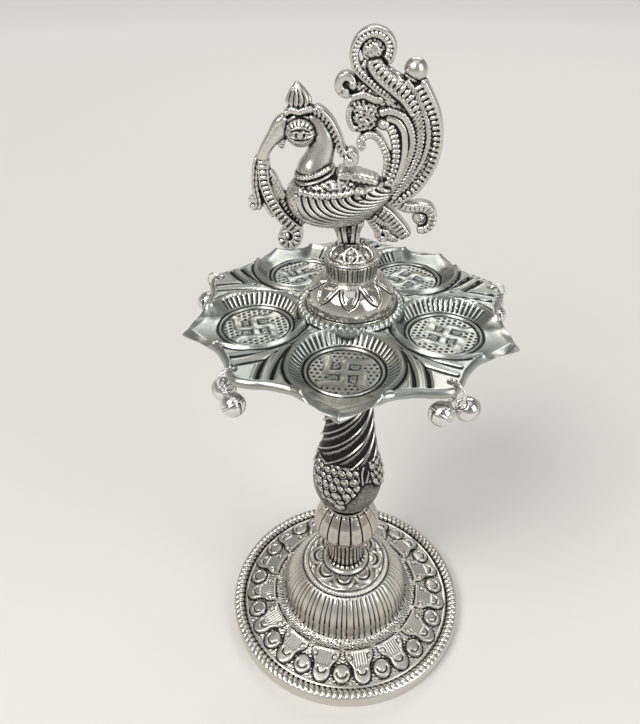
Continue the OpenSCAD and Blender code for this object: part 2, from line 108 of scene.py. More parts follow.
def speckle(x, y, z, scale, seed):
    """Smooth noise about -1 to 1 from a sum of waves, for hammered and stippled metal."""
    rng = np.random.default_rng(seed)
    total = np.zeros(np.broadcast(x, y, z).shape)
    for _ in range(9):
        way = rng.normal(size=3)
        way *= 2 * PI / scale / np.linalg.norm(way) * rng.uniform(0.7, 1.4)
        total = total + np.sin(way[0] * x + way[1] * y + way[2] * z + rng.uniform(0, 2 * PI))
    return total / 3


# Meshes

def grid_faces(rows, cols, wrap_rows, wrap_cols):
    i = np.arange(rows if wrap_rows else rows - 1)[:, None]
    j = np.arange(cols if wrap_cols else cols - 1)[None, :]
    i2, j2 = (i + 1) % rows, (j + 1) % cols
    return np.stack([i * cols + j, i * cols + j2, i2 * cols + j2, i2 * cols + j], -1).reshape(-1, 4)


def make_piece(name, points, quads, tris=None):
    """A smooth-shaded mesh object from points in millimetres."""
    tris = np.zeros((0, 3), int) if tris is None else np.asarray(tris, int)
    mesh = bpy.data.meshes.new(name)
    loops = np.concatenate([quads.ravel(), tris.ravel()]).astype(np.int32)
    starts = np.concatenate([np.arange(len(quads)) * 4,
                             len(quads) * 4 + np.arange(len(tris)) * 3]).astype(np.int32)
    mesh.vertices.add(len(points))
    mesh.vertices.foreach_set("co", (np.asarray(points, float) * MM).astype(np.float32).ravel())
    mesh.loops.add(len(loops))
    mesh.loops.foreach_set("vertex_index", loops)
    mesh.polygons.add(len(starts))
    mesh.polygons.foreach_set("loop_start", starts)
    mesh.update(calc_edges=True)
    mesh.validate()
    mesh.polygons.foreach_set("use_smooth", np.ones(len(mesh.polygons), bool))
    piece = bpy.data.objects.new(name, mesh)
    bpy.context.scene.collection.objects.link(piece)
    return piece


def tube(points, rows, cols):
    """A closed tube: a grid of points in rows along it, then the middle of its first and of its last row."""
    j = np.arange(cols)
    after = (j + 1) % cols
    low = (rows - 1) * cols
    fans = [np.stack([np.full(cols, rows * cols), j, after], 1),
            np.stack([np.full(cols, rows * cols + 1), low + after, low + j], 1)]
    return points, grid_faces(rows, cols, False, True)[:, ::-1], np.vstack(fans)


def turned(outside, inside, cols, relief):
    """Turns a closed outline of radius and height. relief(theta, r, z, s) raises its outside."""
    p = np.vstack([outside, inside])
    along = np.roll(p, -1, 0) - np.roll(p, 1, 0)
    along /= np.maximum(np.linalg.norm(along, axis=1, keepdims=True), 1e-9)
    out = np.stack([along[:, 1], -along[:, 0]], 1)
    s = np.concatenate([[0], np.cumsum(np.linalg.norm(np.diff(p, axis=0), axis=1))])
    theta = np.arange(cols) * 2 * PI / cols
    h = np.zeros((len(p), cols))
    n = len(outside)
    h[:n] = relief(theta[None, :], p[:n, :1], p[:n, 1:], s[:n, None])
    r = p[:, :1] + out[:, :1] * h
    z = p[:, 1:] + out[:, 1:] * h
    points = np.stack([r * np.cos(theta), r * np.sin(theta), z], -1).reshape(-1, 3)
    return points, grid_faces(len(p), cols, True, True)


def turned_solid(outside, cols, relief):
    """A turned part without a hollow, for joining with others."""
    return *turned(outside, np.zeros((0, 2)), cols, relief), np.zeros((0, 3), int)


def lathe(name, outside, inside, cols, relief):
    return make_piece(name, *turned(outside, inside, cols, relief))


def bake_modifiers(piece):
    """Replaces the mesh by what its modifiers make of it."""
    graph = bpy.context.evaluated_depsgraph_get()
    mesh = bpy.data.meshes.new_from_object(piece.evaluated_get(graph))
    mesh.materials.clear()
    mesh.polygons.foreach_set("material_index", np.zeros(len(mesh.polygons), np.int32))
    mesh.polygons.foreach_set("use_smooth", np.ones(len(mesh.polygons), bool))
    piece.modifiers.clear()
    piece.data = mesh


def measure_recess(piece, spread=(24, 160), depth=(0.10, 0.30), weight=(0.6, 0.4), stain=None):
    """Stores how far each point lies below the surface round it, from 0, high, to 1, deep in a hollow.

    spread counts the rounds of smoothing that find that surface, each with its depth and weight.
    stain(r, z) adds to that level by radius and height: painted shade where it is positive, lighter metal
    where it is negative.
    """
    mesh = piece.data
    count = len(mesh.vertices)
    co = np.empty(count * 3, np.float32)
    normal = np.empty(count * 3, np.float32)
    mesh.vertices.foreach_get("co", co)
    mesh.vertex_normals.foreach_get("vector", normal)
    co = co.reshape(-1, 3).astype(float) / MM
    normal = normal.reshape(-1, 3).astype(float)
    edge = np.empty(len(mesh.edges) * 2, np.int32)
    mesh.edges.foreach_get("vertices", edge)
    edge = edge.reshape(-1, 2)
    here = np.concatenate([edge[:, 0], edge[:, 1]])
    there = np.concatenate([edge[:, 1], edge[:, 0]])
    links = np.maximum(np.bincount(here, minlength=count), 1)[:, None]
    level = np.zeros(count)
    now = co
    done = 0
    for rounds, deep, part in zip(spread, depth, weight):
        for _ in range(rounds - done):
            mean = np.stack([np.bincount(here, now[there, i], count) for i in range(3)], 1) / links
            now = 0.5 * now + 0.5 * mean
        done = rounds
        below = ((now - co) * normal).sum(1)
        level += part * np.clip(below / deep, -1, 1)
    # Painted shade joins the level of the hollows here, and darkens the metal as the oxidised hollows do.
    if stain is not None:
        level += stain(np.hypot(co[:, 0], co[:, 1]), co[:, 2])
    attribute = mesh.attributes.new("recess_and_shade", "FLOAT", "POINT")
    attribute.data.foreach_set("value", np.clip(0.5 + 0.5 * level, 0, 1).astype(np.float32))


# Materials

def add_node(tree, kind, values=None, **settings):
    """A new shader node. values sets its inputs to numbers, colours or outputs of other nodes."""
    node = tree.nodes.new("ShaderNode" + kind)
    for name, setting in settings.items():
        setattr(node, name, setting)
    for key, value in (values or {}).items():
        if isinstance(value, bpy.types.NodeSocket):
            tree.links.new(value, node.inputs[key])
        else:
            node.inputs[key].default_value = value
    return node


def cast_metal(name, bright, dark, warm, edges=(0.40, 0.66), rough=(0.2, 0.55), grain=0.35):
    """Cast metal: rubbed bright where it stands proud, dark where its recess_and_shade attribute is high:
    oxidised metal in the hollows, and painted shade where a piece adds it.
    """
    material = bpy.data.materials.new(name)
    material.use_nodes = True
    tree = material.node_tree
    shader = tree.nodes["Principled BSDF"]
    shader.inputs["Metallic"].default_value = 1.0
    place = add_node(tree, "TexCoord").outputs["Object"]
    recess_and_shade = add_node(tree, "Attribute", attribute_name="recess_and_shade").outputs["Fac"]

    def noise(scale, detail, roughness):
        values = {"Vector": place, "Scale": scale, "Detail": detail, "Roughness": roughness}
        return add_node(tree, "TexNoise", values).outputs["Fac"]

    def math_node(operation, a, b):
        return add_node(tree, "Math", {0: a, 1: b}, operation=operation).outputs[0]

    def spread(*value_and_ranges):
        values = dict(enumerate(value_and_ranges))
        return add_node(tree, "MapRange", values, interpolation_type="SMOOTHSTEP").outputs["Result"]

    def mix(factor, a, b):
        return add_node(tree, "Mix", {"Factor": factor, "A": a, "B": b}, data_type="RGBA").outputs["Result"]

    patches = noise(110, 4, 0.6)
    fine = noise(1500, 3, 0.65)
    shift = math_node("MULTIPLY", math_node("SUBTRACT", fine, 0.5), grain)
    level = math_node("ADD", recess_and_shade, shift)
    rubbed = mix(spread(patches, 0.25, 0.75, 0.0, 1.0), (*bright, 1), (*warm, 1))
    # Where the level is high the metal goes dark: oxidised hollows, and painted shade where a piece put it
    # into the level.
    oxide_and_shade = spread(level, *edges, 0.0, 1.0)
    tree.links.new(mix(oxide_and_shade, rubbed, (*dark, 1)), shader.inputs["Base Color"])
    tree.links.new(spread(level, *edges, *rough), shader.inputs["Roughness"])
    bump = add_node(tree, "Bump", {"Strength": 0.12, "Distance": 0.0002, "Height": fine})
    tree.links.new(bump.outputs["Normal"], shader.inputs["Normal"])
    return material


# Dark colour of the oxidised hollows, also used for the painted shade on the base dome's lower reeds.
OXIDE_AND_SHADE = (0.022, 0.022, 0.024)
aged = cast_metal("aged_cast", (0.62, 0.62, 0.60), OXIDE_AND_SHADE, (0.63, 0.60, 0.55), edges=(0.42, 0.72),
                  rough=(0.26, 0.6), grain=0.5)
stem_metal = cast_metal("stem_cast", (0.56, 0.57, 0.55), OXIDE_AND_SHADE, (0.56, 0.53, 0.48), edges=(0.21, 0.56))
base_metal = cast_metal("base_cast", (0.66, 0.66, 0.62), OXIDE_AND_SHADE, (0.66, 0.62, 0.55), edges=(0.56, 0.88),
                        rough=(0.32, 0.6))
tray_metal = cast_metal("tray_cast", (0.37, 0.40, 0.39), (0.03, 0.032, 0.033), (0.45, 0.445, 0.40),
                        edges=(0.45, 0.82), rough=(0.30, 0.5))
polished = cast_metal("polished_cast", (0.68, 0.67, 0.64), OXIDE_AND_SHADE, (0.64, 0.62, 0.56), rough=(0.13, 0.45))
collar_metal = cast_metal("collar_cast", (0.50, 0.49, 0.47), OXIDE_AND_SHADE, (0.60, 0.56, 0.48), edges=(0.38, 0.64),
                          rough=(0.13, 0.45))
plated = cast_metal("bright_plate", (0.82, 0.82, 0.82), OXIDE_AND_SHADE, (0.78, 0.76, 0.74), rough=(0.07, 0.3),
                    grain=0.1)
steel = cast_metal("plain_steel", (0.45, 0.45, 0.45), (0.12, 0.12, 0.12), (0.4, 0.38, 0.36),
                   rough=(0.3, 0.5))


def finish_piece(piece, material, body, node, slot, **recess_and_shade):
    """Recess, metal and place in the frame of a piece that stands for one node."""
    measure_recess(piece, **recess_and_shade)
    piece.data.materials.append(material)
    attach(piece, body)
    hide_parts(node)


# Levels and sizes, from the frame

def node_box(name):
    low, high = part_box(name)
    return np.array(low) / MM, np.array(high) / MM


base_high = node_box("base")[1]
foot_low, foot_high = node_box("stem_foot")
baluster_low, baluster_high = node_box("stem_baluster")
tray_low = node_box("tray")[0]
dome_high = node_box("hub_dome")[1]
collar_low, collar_high = node_box("finial_collar")
bird_low = node_box("peacock")[0]
base_r = base_high[0]
base_top = base_high[2]
BORE_R = 2.15


# Base

ROPE_R, ROPE_Z = 2.0, 4.4
BAND_IN, BAND_OUT = (27.0, 8.2), (38.4, 5.0)
DOME_CENTRE, DOME_R = (7.4, 11.6), 15.1
BEAD_RING_R = 15.0
ROPE_TICKS, PETALS, REED_GROUPS, BEADS = 126, 15, 22, 88
NARROW_REED, SCALLOPS = 0.21, 8
PETAL_TURN = math.radians(-76.4)


def base_outline():
    """Closed outline from the foot, over the rim, band and dome, to the bore and back inside."""
    wall = [(base_r - 2.6, 0), (base_r - 1, 0), (base_r - 0.4, 0.6), (base_r - 0.4, 3.4)]
    rope = arc((base_r - ROPE_R, ROPE_Z), ROPE_R, -20, 176, 30)
    hollow = arc((25.9, 11.6), 3.4, -80, -176, 12)
    band = np.vstack([[(38.9, 4.9)], resample([BAND_OUT, BAND_IN], 0.2), hollow])
    shell = arc(DOME_CENTRE, DOME_R, 0, 56, 40)
    top = [(15.0, 24.7), (14.2, 24.9), (8.4, base_top - 0.8), (7.6, base_top), (BORE_R, base_top)]
    outside = np.vstack([resample(wall, 0.5), rope, resample(band, 0.2), shell, resample(top, 0.2)])
    ceiling = [(BORE_R, base_top - 3), (9, base_top - 3)]
    under_dome = arc(DOME_CENTRE, DOME_R - 2.4, 56, 0, 12)
    inside = np.vstack([ceiling, under_dome, [(21.6, 8), (26, 5.4), (base_r - 2.6, 2)]])
    return outside, inside


def crescent(x, y, radius, half_width):
    """A smile-shaped groove, open towards -x."""
    return ridge(np.hypot(x, y) - radius, half_width) * smoothstep(-0.35 * radius, 0.35 * radius, x)


def petal_relief(theta, r):
    """Lotus petals of the band: shields with eared roots, and round buds between their tips."""
    across = nearest_angle(theta, PETALS, PETAL_TURN) * r
    side = abs(across)
    up = 37.6 - r
    half = (3.0 + 1.9 * smoothstep(4.8, 8.6, up)) * dome(np.clip(1 - up / 3.0, 0, 1), 1)
    inside = half - side
    shape = smoothstep(-0.12, 0.35, inside) * (up > 0)
    shield = shape * (0.7 + 0.3 * dome(np.clip(1.5 - inside, 0, 1.5), 1.5))
    field = smoothstep(0.8, 1.1, inside) * between(5.0, 10.2, 0.4, up) * (1 - smoothstep(2.6, 3.0, side))
    shield = shield - field * (0.22 + 0.07 * np.cos(side * 2 * PI / 0.9))
    shield = shield - 0.6 * crescent(r - 33.4, across, 1.55, 0.3)
    ear = np.hypot(side - 3.6, up - 8.4)
    shield = shield + shape * (0.3 * dome(ear, 0.75) - 0.35 * ridge(ear - 0.95, 0.2))
    bud_across = nearest_angle(theta, PETALS, PETAL_TURN + PI / PETALS) * r
    far = np.hypot(r - 34.3, bud_across)
    bud = smoothstep(-0.1, 0.35, 3.0 - far) * (0.7 + 0.25 * dome(far, 3.0))
    bud = bud - 0.6 * crescent(r - 33.9, bud_across, 1.75, 0.3)
    return np.maximum(shield, bud * (inside < 0.15))


def dome_grooves(theta, r, z):
    """Grooves that part the dome's reeds: groups of one wide and two narrow reeds, with staggered ends."""
    u = abs(nearest_angle(theta, REED_GROUPS)) * REED_GROUPS / (2 * PI)
    to_mm = r * 2 * PI / REED_GROUPS
    wide = ridge((u - NARROW_REED) * to_mm, 0.27) * smoothstep(13.2, 13.9, z)
    narrow = ridge((0.5 - u) * to_mm, 0.27) * smoothstep(14.3, 15.0, z)
    half = (0.5 - NARROW_REED) / 2
    hollow = np.minimum((u / NARROW_REED) ** 2, ((u - NARROW_REED - half) / half) ** 2)
    grooves = np.maximum(np.maximum(wide, narrow), 0.5 * hollow)
    return grooves * (1 - smoothstep(23.0, 23.7, z)) * (r > 15.3) * (r < 23.4)


def base_relief(theta, r, z, s):
    outer = (r > 5) & (z > 0.7)
    h = np.zeros(np.broadcast(theta, r).shape)
    # Rope rim: smooth outside, slanted ticks from its inner edge over the top
    turn = np.arctan2(z - ROPE_Z, r - (base_r - ROPE_R))
    ticks = smoothstep(0.7, 1.15, turn) * between(38.9, base_r, 0.1, r) * (z > 4)
    h -= 0.42 * ticks * abs(np.cos(ROPE_TICKS / 2 * theta + 0.9 * turn)) ** 6
    # Thin line inside the rope
    h += (0.14 * ridge(r - 38.2, 0.28) - 0.16 * ridge(r - 38.9, 0.25)) * (z < 6)
    h += between(26.9, 37.8, 0.15, r) * (z < 9.4) * petal_relief(theta, r)
    # Finely stippled ground between the petals and up to the dome
    x, y = r * np.cos(theta), r * np.sin(theta)
    h += 0.08 * speckle(x, y, z, 0.8, 3) * between(22.9, 37.6, 0.3, r) * (z < 11) * (h < 0.15)
    h -= 0.6 * dome_grooves(theta, r, z)
    # Ring of fine beads between two lines
    bead = np.hypot(nearest_angle(theta, BEADS) * r, (r - BEAD_RING_R) * 1.1)
    h += 0.45 * dome(bead, 0.56) * (z > 23)
    h -= 0.4 * (ridge(r - 16.0, 0.22) + ridge(r - 14.0, 0.25)) * (z > 22)
    # Festoon round the stem: hanging scallops, each with a smaller one inside, and a bead at each cusp
    u = abs(nearest_angle(theta, SCALLOPS, -PI / 2)) * SCALLOPS / (2 * PI)
    scallop = ridge(r - 9.2 - 3.5 * np.clip(1 - (2 * u) ** 2, 0, 1) ** 0.75, 0.6)
    inner = ridge(r - 8.9 - 2.0 * np.clip(1 - (3 * u) ** 2, 0, 1) ** 0.75, 0.42) * (u < 0.34)
    bead = dome(np.hypot(r - 12.7, (0.5 - u) * 2 * PI / SCALLOPS * r), 0.75)
    motif = np.maximum(np.maximum(scallop, 0.8 * inner), bead)
    h += between(8.3, 13.5, 0.15, r) * (z > 24) * (0.65 * motif - 0.2)
    return h * outer


def make_base():
    outside, inside = base_outline()
    piece = lathe("base_cast", outside, inside, 1080, base_relief)
    # Painted shade: darker metal on the lower reeds of the dome, standing for the dark surroundings they
    # reflect.
    foot = lambda r, z: 0.55 * between(12.0, 16.5, 2.0, z) * between(19, 24, 1.0, r)
    finish_piece(piece, base_metal, "lamp", "base", "oxidised_cast", depth=(0.14, 0.5), weight=(0.75, 0.25),
                 stain=foot)


make_base()


# Stem

COLLAR_PETALS, NECK_FLUTES = 16, 24


def make_stem_foot():
    low, high = foot_low[2], foot_high[2]
    neck = [(BORE_R, low), (7.4, low), (7.4, low + 1.2), (6.4, low + 2), (5.9, low + 5)]
    bell = [(5.9, low + 5), (5.9, low + 9), (6.6, low + 12), (9.2, low + 15), (11, low + 18),
            (11.2, low + 20.5), (10.2, low + 24.5), (8.4, low + 27.6), (7, high)]
    outside = np.vstack([resample(neck, 0.2)[:-1], resample(smooth_curve(bell, 10), 0.18), [(BORE_R, high)]])

    def relief(theta, r, z, s):
        up = z - low
        h = -0.45 * between(0.3, 11.5, 0.4, up) * abs(np.cos(NECK_FLUTES / 2 * theta)) ** 4
        # Rounded petals, with dark gaps that widen towards their lower ends
        half = PI / COLLAR_PETALS * r
        gap = half - abs(nearest_angle(theta, COLLAR_PETALS)) * r
        width = 0.26 + 0.4 * smoothstep(22, 15, up)
        h = h - 0.75 * between(15.0, 29.2, 0.4, up) * ridge(gap, width)
        toe = 15.2 + 1.7 * (1 - dome(1 - gap / half, 1))
        h = h - 0.8 * smoothstep(toe + 0.4, toe - 0.2, up) * smoothstep(10.5, 12.5, up)
        brow = 28.6 - 1.3 * (1 - dome(1 - gap / half, 1))
        h = h - 0.5 * smoothstep(brow - 0.1, brow + 0.4, up)
        return h * (r > BORE_R + 0.5) * (z > low + 0.1)

    piece = lathe("stem_foot_cast", outside, [(BORE_R, (low + high) / 2)], 480, relief)
    finish_piece(piece, collar_metal, "lamp", "stem_foot", "polished_cast", depth=(0.14, 0.4))


make_stem_foot()

# Baluster: radius and height to the top of its relief, and the neck that lies lower between the leaf edges
BALUSTER_LINE = ((8.3, 59.2), (10.2, 62), (11.4, 67), (11.1, 73), (9.6, 81), (8.2, 90), (6.7, 107),
                 (5.7, 121), (6.3, 124), (9.2, 127.4))
LEAF_RISE, NECK_LOW, NECK_HIGH = 0.6, 80.0, 122.0
LEAVES, LEAF_TURN, LEAF_TWIST, LEAF_Z = 7, math.radians(-89), math.radians(8.75), 91.1
BUNCHES, BUNCH_TURN = 3, math.radians(-105)
GRAPE_ROW, GRAPE_STEP, BUNCH_LOW, BUNCH_HIGH = 2.7, math.radians(14.4), 63.6, 80.8


def grape_relief(theta, r, z):
    """A bunch of leaning grapes over one large grape, with a leaf of curved strokes beside it."""
    bunch = nearest_angle(theta, BUNCHES, BUNCH_TURN)
    x, y = r * np.cos(theta), r * np.sin(theta)
    rise = z - BUNCH_LOW + 0.35 * speckle(x, y, z, 6.0, 21)
    row = np.floor(rise / GRAPE_ROW)
    up = rise - (row + 0.5) * GRAPE_ROW
    across = nearest(bunch + (row % 2) * GRAPE_STEP / 2 + 0.03 * speckle(x, y, z, 6.0, 22), GRAPE_STEP) * r
    lean = across + 0.35 * up
    far = np.hypot(lean, up / 1.15)
    grape = 0.75 * dome(far, 1.3) - 0.4 * crescent(-up - 0.1, lean, 0.75, 0.2)
    half = np.where(bunch < 0, math.radians(58), math.radians(41))
    half = half * smoothstep(BUNCH_LOW - 2, BUNCH_HIGH - 6, z)
    inside = (1 - smoothstep(half - 0.06, half, abs(bunch))) * between(BUNCH_LOW + 2.4, BUNCH_HIGH, 0.5, z)
    big = np.hypot((bunch - 0.1) * r, z - BUNCH_LOW - 1.6)
    lx, lz = (bunch - 0.88) * r, z - 71.5
    reach, way = np.hypot(lx, lz), np.arctan2(lz, lx)
    stroke = ridge(nearest(way + 0.06 * reach, 0.42) * reach, 0.42)
    stroke = stroke * between(3.0, 8.5, 0.5, reach) * (lz > 0)
    stroke = 0.5 * stroke * smoothstep(0.06, 0.12, abs(bunch) - half + 0.06) * (z < 80.5)
    return np.maximum(inside * grape, np.maximum(0.6 * dome(big, 1.8), stroke))


def make_baluster():
    low, high = baluster_low[2], baluster_high[2]
    line = [(r - LEAF_RISE * (NECK_LOW < z < NECK_HIGH), z) for r, z in BALUSTER_LINE]
    outside = np.vstack([[(BORE_R, low), (6.6, low), (6.9, low + 0.7)], smooth_curve(line, 12),
                         [(9.5, 127.8), (9.5, high)]])
    outside = np.vstack([resample(outside, 0.2), [(BORE_R, high)]])

    def relief(theta, r, z, s):
        h = grape_relief(theta, r, z)
        # Sharp leaf edges that wind up to the right, each with a hollow under it
        winding = theta - (z - LEAF_Z) * LEAF_TWIST
        past = nearest_angle(winding, LEAVES, LEAF_TURN) * r
        neck = smoothstep(NECK_LOW - 1, NECK_LOW + 2.5, z) * (1 - smoothstep(NECK_HIGH - 3, NECK_HIGH, z))
        share = (winding - LEAF_TURN) * LEAVES / (2 * PI) % 1.0
        edge = 0.62 * ridge(past, 0.5) + 0.3 * smoothstep(0.55, 1.0, share) - 0.3 * ridge(past - 1.3, 0.7)
        h = h + neck * edge
        # Dark ring at the foot, and a ring under the tray
        h = h - 0.4 * ridge(z - low - 1.6, 0.5) + 0.4 * ridge(z - 125.4, 0.5)
        return h * (r > BORE_R + 0.5) * smoothstep(low, low + 0.4, z) * smoothstep(high, high - 0.6, z)

    piece = lathe("baluster_cast", outside, [(BORE_R, (low + high) / 2)], 480, relief)
    finish_piece(piece, stem_metal, "lamp", "stem_baluster", "oxidised_cast")


make_baluster()


# Tray

CUPS = 5
CUP_RING_R, CUP_LIP_R = 27.0, 13.9
# The ring round a cup's floor is set back from the cup's centre towards the hub
FLOOR_Z, FLOOR_R, FLOOR_BACK = 131.25, 10.2, 0.7
PLATE_Z, PLATE_T = 134.5, 2.2
HUB_Z, HUB_R, HUB_RING_R, HUB_BEAD_R = 135.0, 12.6, 13.3, 1.1
CUP_FLUTES, HUB_FLUTES = 56, 46
# Strokes of a shell lobe: how far each crowns from the cup's spoke
SHELL_STROKES, SHELL_CROWN_R, SHELL_BEND = (16.7, 20.1), 34.0, 70.0
FRINGED_LOBE, FRINGE_STEP = math.radians(18), 2.4
# Edge of the tray: degrees from a spout's tip, and radius
TRAY_EDGE = ((0, 46.0), (2.5, 44.7), (8.2, 42.2), (13, 40.8), (17, 40.0), (21, 40.1), (26, 40.9), (31, 42.8),
             (36, 44.0), (41, 42.8))
HOLE_TURN = (2, 0, 0, 0, -4)
HOLE_R, HOLE_AT = 1.25, 41.25
HOLE_SIDES, HOLE_ENDS = 40, (139.0, 128.0)


def hole_angles():
    """Directions of the holes for the rings, one in the lobe after each cup."""
    return [math.radians(-90 + 360 / CUPS * (k + 0.5) + turn) for k, turn in enumerate(HOLE_TURN)]


def tray_edge(spoke):
    line = smooth_curve(TRAY_EDGE, 12)
    return np.interp(np.degrees(abs(spoke)), line[:, 0], line[:, 1])


def fringe(theta):
    """Ends of strokes that stand out over the edge of one unevenly cast lobe, clear of its bell ring."""
    off = np.degrees(abs(nearest_angle(theta, 1, FRINGED_LOBE)))
    return 0.9 * np.cos(off * PI / FRINGE_STEP) ** 2 * between(3.0, 12.0, 0.4, off)


def to_segment(x, y, a, b):
    """Distance to the segment from a to b."""
    ax, ay = b[0] - a[0], b[1] - a[1]
    t = np.clip(((x - a[0]) * ax + (y - a[1]) * ay) / (ax * ax + ay * ay), 0, 1)
    return np.hypot(x - a[0] - t * ax, y - a[1] - t * ay)


def sign_distance(u, v):
    """Distance to the middle line of the sign on a cup's floor: four bent arms with curled tips."""
    arm = ((0, 0), (0, 4.4), (4.7, 4.4), (6.0, 5.0), (6.8, 6.4))
    best = np.full(np.shape(u), 99.0)
    for _ in range(4):
        for a, b in zip(arm, arm[1:]):
            best = np.minimum(best, to_segment(u, v, a, b))
        u, v = -v, u
    return best


def shell_relief(r, theta, spoke, edge, far):
    """Strokes of the shell lobes: they hug the cups, curve out to the edge and end there broad and round."""
    q = abs(r * np.sin(spoke)) + (SHELL_CROWN_R - r * np.cos(spoke)) ** 2 / SHELL_BEND
    broad = smoothstep(27, 38, r)
    h = np.zeros(np.broadcast(r, theta).shape)
    for crown in SHELL_STROKES:
        line = 0.7 * ridge(q - crown, 0.3 + 0.26 * broad)
        h = h - line + 0.3 * ridge(abs(q - crown) - 1.15, 0.3) * (1 - 0.7 * broad)
    middle = r * np.sin(PI / CUPS - abs(spoke))
    h = h - 0.45 * ridge(middle, 0.2) * between(16.5, 33, 1.0, r)
    h = h * smoothstep(15.0, 18, r) * smoothstep(1.6, 2.4, edge - r)
    return h * smoothstep(15.2, 15.7, far) * smoothstep(math.radians(13), math.radians(17), abs(spoke))


def floor_relief(x, y):
    """Carving of a cup's floor inside its ring: the sign, punched pits and four small rosettes."""
    bar = sign_distance(y, -x)
    worn = 0.72 + 0.28 * np.sin(1.3 * x + 0.7 * y) * np.sin(1.1 * y - 0.5 * x)
    h = 0.24 * worn * (1 - smoothstep(0.45, 1.3, bar))
    dot = 1.45
    row = np.floor(x / dot)
    pit = np.hypot(x - (row + 0.5) * dot, (y + 0.5 * dot * (row % 2)) % dot - dot / 2)
    rosette = np.hypot(abs(x) - 2.5, abs(y) - 2.5)
    ground = smoothstep(1.2, 1.6, bar)
    h = h - 0.34 * ridge(pit, 0.34) * ground * smoothstep(1.2, 1.5, rosette)
    return h + ground * (0.25 * ridge(rosette - 0.85, 0.22) + 0.25 * dome(rosette, 0.45))


def tray_top(r, theta):
    """Height of the tray's upper face."""
    spoke = nearest_angle(theta, CUPS, -PI / 2)
    edge = tray_edge(spoke)
    x, y = r * np.cos(spoke) - CUP_RING_R, r * np.sin(spoke)
    far = np.hypot(x, y)
    turn = np.arctan2(y, x)
    plate = PLATE_Z + shell_relief(r, theta, spoke, edge, far)

    # Cup: its wall rises from the floor's ring to the lip, and runs out in a long slope to the spout's tip
    forward = np.cos(turn)
    spout = smoothstep(0.72, 0.97, forward)
    lip_r = CUP_LIP_R + 4.4 * spout
    floor_r = -FLOOR_BACK * forward + np.sqrt(FLOOR_R**2 - (FLOOR_BACK * np.sin(turn)) ** 2)
    lip_top = 134.8 - 0.5 * np.minimum(forward, 0.4) - 0.9 * spout
    wall = np.clip((far - floor_r) / (lip_r - floor_r), 0, 1)
    floor = FLOOR_Z + 0.3 * np.clip(far / FLOOR_R, 0, 1) ** 2
    cup = floor + (lip_top - floor) * wall ** 1.1
    fluted = between(0.22, 0.9, 0.08, wall) * smoothstep(0.62, 0.42, forward)
    cup = cup - 0.42 * fluted * abs(np.cos(CUP_FLUTES / 2 * turn)) ** 4
    ring = np.hypot(x + FLOOR_BACK, y)
    cup = cup + 0.4 * ridge(ring - 9.7, 0.3) - 0.3 * ridge(ring - 9.05, 0.24)
    cup = cup - 0.2 * ridge(ring - 10.35, 0.26)
    cup = cup + floor_relief(x + 0.3, y) * (1 - smoothstep(8.5, 8.8, ring))

    outside = smoothstep(lip_r, lip_r + 0.8, far)
    z = cup * (1 - outside) + plate * outside
    z = z + 0.4 * ridge(far - lip_r, 0.36) * (1 - spout)
    moat = 0.6 * ridge(far - 15.1, 0.36) * (1 - smoothstep(0.5, 0.75, forward))
    z = z - moat * smoothstep(0.9, 1.8, edge - r)

    # Gadroons round the hub
    across = np.clip((r - HUB_RING_R) / HUB_BEAD_R, -1, 1)
    ticks = abs(np.cos(HUB_FLUTES / 2 * theta)) ** 5
    ring = HUB_Z + HUB_BEAD_R * np.sqrt(1 - across**2) * (1 - 0.7 * ticks)
    hub = np.where(abs(across) < 1, np.maximum(ring, np.minimum(z, 134.9)), z)
    return np.where(r < HUB_RING_R - HUB_BEAD_R, HUB_Z, hub)


def tray_under(r, theta):
    """Height of the tray's underside."""
    spoke = nearest_angle(theta, CUPS, -PI / 2)
    far = np.hypot(r * np.cos(spoke) - CUP_RING_R, r * np.sin(spoke))
    bowl = 130.1 + 2.2 * np.clip((far - 9.75) / 4.85, 0, 1)
    flat = PLATE_Z - PLATE_T
    nose = 1.2 * np.exp(-(r * spoke / 4.0) ** 2) * smoothstep(36, 41, r)
    return np.where(r < HUB_R, tray_low[2], np.minimum(bowl, flat) - nose)


def cut_holes(piece, cutters):
    for cutter in cutters:
        change = piece.modifiers.new("hole", "BOOLEAN")
        change.operation = "DIFFERENCE"
        change.solver = "MANIFOLD"
        change.object = cutter
    bake_modifiers(piece)
    for cutter in cutters:
        bpy.data.objects.remove(cutter)


